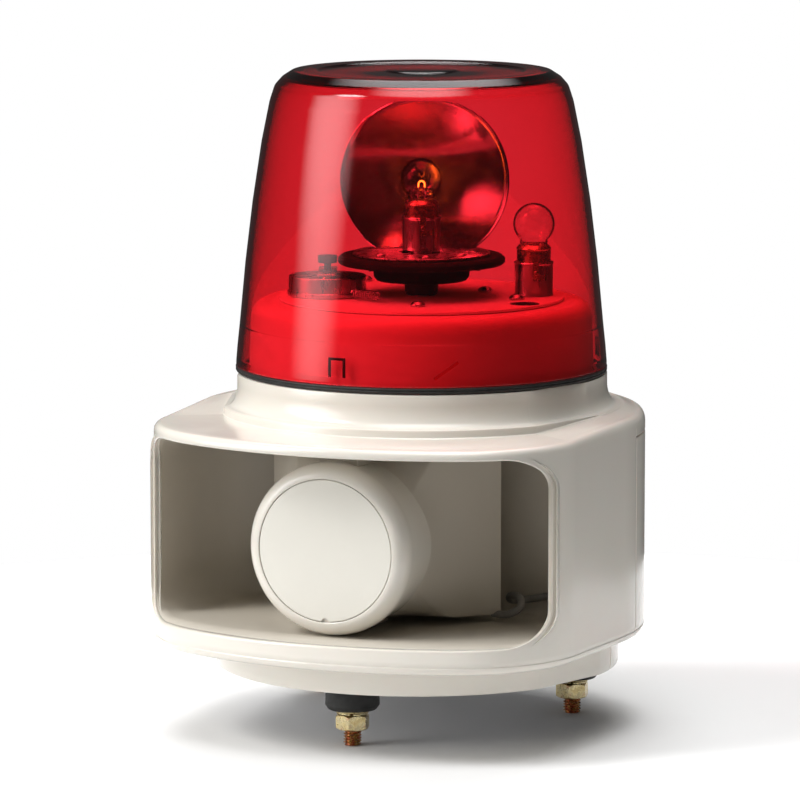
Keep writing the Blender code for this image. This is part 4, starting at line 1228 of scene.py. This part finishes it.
def mountings():
    """The three sets of stud, nut, spring washer, flat washer and rubber foot."""
    for i in (1, 2, 3):
        centre = middle(f"stud_{i}")
        low, high = levels(f"stud_{i}")
        stud = threaded_stud(low, PLINTH_BOTTOM + STUD_HEAD_RISE, high)
        piece(f"threaded_stud_{i}", stud, "yellow_zinc", [f"stud_{i}"],
              at(centre, 0.0) @ Matrix.Rotation(0.7 * i, 4, "Z"), look="thread")
        place = at(centre, 0.0) @ turn_z(12.0)
        piece(f"hex_nut_{i}", hex_nut(*levels(f"nut_{i}")), "yellow_zinc", [f"nut_{i}"], place)
        ring = split_washer(*levels(f"spring_washer_{i}"), half_width(f"spring_washer_{i}"))
        piece(f"split_washer_{i}", ring, "yellow_zinc", [f"spring_washer_{i}"], place)
        low, high = levels(f"flat_washer_{i}")
        radius = half_width(f"flat_washer_{i}")
        flat = [(WASHER_BORE, low, 0.0002), (radius, low, 0.0003), (radius, high, 0.0004),
                (WASHER_BORE, high, 0.0002)]
        piece(f"plain_washer_{i}", lathe(flat, 64, True, 3), "yellow_zinc", [f"flat_washer_{i}"], place)
        low, high = levels(f"rubber_foot_{i}")
        radius = half_width(f"rubber_foot_{i}")
        foot = [(WASHER_BORE, high, 0.0002), (radius - 0.0002, high, 0.0008),
                (radius, low + 0.0020, 0.0008), (radius - 0.0014, low, 0.0010), (0.0088, low, 0.0003),
                (0.0086, low + 0.0006, 0.0003), (WASHER_BORE, low + 0.0006, 0.0002)]
        piece(f"foot_pad_{i}", lathe(foot, 72, True), "rubber", [f"rubber_foot_{i}"], place)


# ---- CAD nodes that stay: each takes its slot's finish -------------------------------
def dress_nodes():
    for entry in frame["record"]["subparts"]:
        slots = frame["nodes"][entry["node"]].data.materials
        for i in range(len(slots)):
            slots[i] = LOOKS[entry["material_slot"]]


# ---- studio --------------------------------------------------------------------------
def placed(name, data):
    made = bpy.data.objects.new(name, data)
    bpy.context.scene.collection.objects.link(made)
    return made


def floor():
    work = bmesh.new()
    bmesh.ops.create_circle(work, cap_ends=True, segments=96, radius=FLOOR_R)
    mesh = finished(work)
    look = finish("studio_floor", (0.82, 0.82, 0.82), 0.9, mottle=0.002, patch=2.0, grain=(60.0, 0.01),
                  Specular_IOR_Level=0.1)
    mesh.materials.append(look)
    made = placed("floor", mesh)
    made.location = (0, 0, CAD_BOX[0][2] - 0.0002)


def key_light():
    light = bpy.data.lights.new("key", "AREA")
    light.size = KEY_SIZE
    light.energy = KEY_POWER
    made = placed("key", light)
    made.location = KEY_AT
    made.rotation_euler = (Vector(KEY_AIM) - Vector(KEY_AT)).to_track_quat("-Z", "Y").to_euler()
    made.visible_glossy = False


def maths(tree, operation, first, second):
    """The result of a maths node, whose two inputs are each an output socket or a number."""
    made = node(tree, "ShaderNodeMath", operation=operation)
    for socket, value in zip(made.inputs, (first, second)):
        if isinstance(value, float):
            socket.default_value = value
        else:
            tree.links.new(value, socket)
    return made.outputs["Value"]


def glow_strength(tree):
    """The dome's dim level with each soft patch added to it."""
    where = node(tree, "ShaderNodeTexCoord")
    total = DOME
    for bearing, height, width, brightness in GLOWS:
        turn, rise = math.radians(bearing), math.radians(height)
        near = node(tree, "ShaderNodeVectorMath", operation="DOT_PRODUCT")
        near.inputs[1].default_value = (math.sin(turn) * math.cos(rise), -math.cos(turn) * math.cos(rise),
                                        math.sin(rise))
        tree.links.new(where.outputs["Generated"], near.inputs[0])
        patch = node(tree, "ShaderNodeMapRange", interpolation_type="SMOOTHSTEP")
        patch.inputs["From Min"].default_value = math.cos(math.radians(width))
        patch.inputs["To Max"].default_value = brightness
        tree.links.new(near.outputs["Value"], patch.inputs["Value"])
        total = maths(tree, "ADD", patch.outputs["Result"], total)
    return total


def dome():
    """The studio as a world: white behind the object, and a dim dome with soft bright patches as light."""
    world = bpy.data.worlds.new("studio")
    bpy.context.scene.world = world
    world.use_nodes = True
    tree = world.node_tree
    lit = tree.nodes["Background"]
    tree.links.new(glow_strength(tree), lit.inputs["Strength"])
    lit.inputs["Color"].default_value = (1.0, 1.0, 1.0, 1.0)
    backdrop = node(tree, "ShaderNodeBackground", Color=(1.0, 1.0, 1.0, 1.0), Strength=BACKDROP)
    path = node(tree, "ShaderNodeLightPath").outputs
    bounces = maths(tree, "ADD", path["Diffuse Depth"], path["Glossy Depth"])
    straight = maths(tree, "LESS_THAN", bounces, 0.5)
    sight = maths(tree, "MAXIMUM", path["Is Camera Ray"], path["Is Transmission Ray"])
    mix = node(tree, "ShaderNodeMixShader")
    tree.links.new(maths(tree, "MULTIPLY", straight, sight), mix.inputs["Fac"])
    tree.links.new(lit.outputs["Background"], mix.inputs[1])
    tree.links.new(backdrop.outputs["Background"], mix.inputs[2])
    tree.links.new(mix.outputs["Shader"], tree.nodes["World Output"].inputs["Surface"])


def camera():
    data = bpy.data.cameras.new("camera")
    data.lens = CAMERA_LENS
    data.sensor_width = 36.0
    made = placed("camera", data)
    back = Vector((math.sin(CAMERA_AZIMUTH) * math.cos(CAMERA_PITCH),
                   -math.cos(CAMERA_AZIMUTH) * math.cos(CAMERA_PITCH), math.sin(CAMERA_PITCH)))
    made.location = CAMERA_TARGET + back * CAMERA_DISTANCE
    made.rotation_euler = back.to_track_quat("Z", "Y").to_euler()
    bpy.context.scene.camera = made
    bpy.context.scene.view_settings.view_transform = "Standard"


camera()
floor()
dome()
key_light()
dress_nodes()
front_shell()
rear_shell()
horn_tray()
horn_block()
driver()
lead()
globe()
seal()
chassis()
screws()
lamp("signal_lamp", "bulb_base", "bulb_glass", "bulb_socket")
filament()
lamp("spare_lamp", "spare_bulb_base", "spare_bulb_glass", "spare_bulb_holder")
rotor()
mirror()
motor()
motor_mount()
mountings()
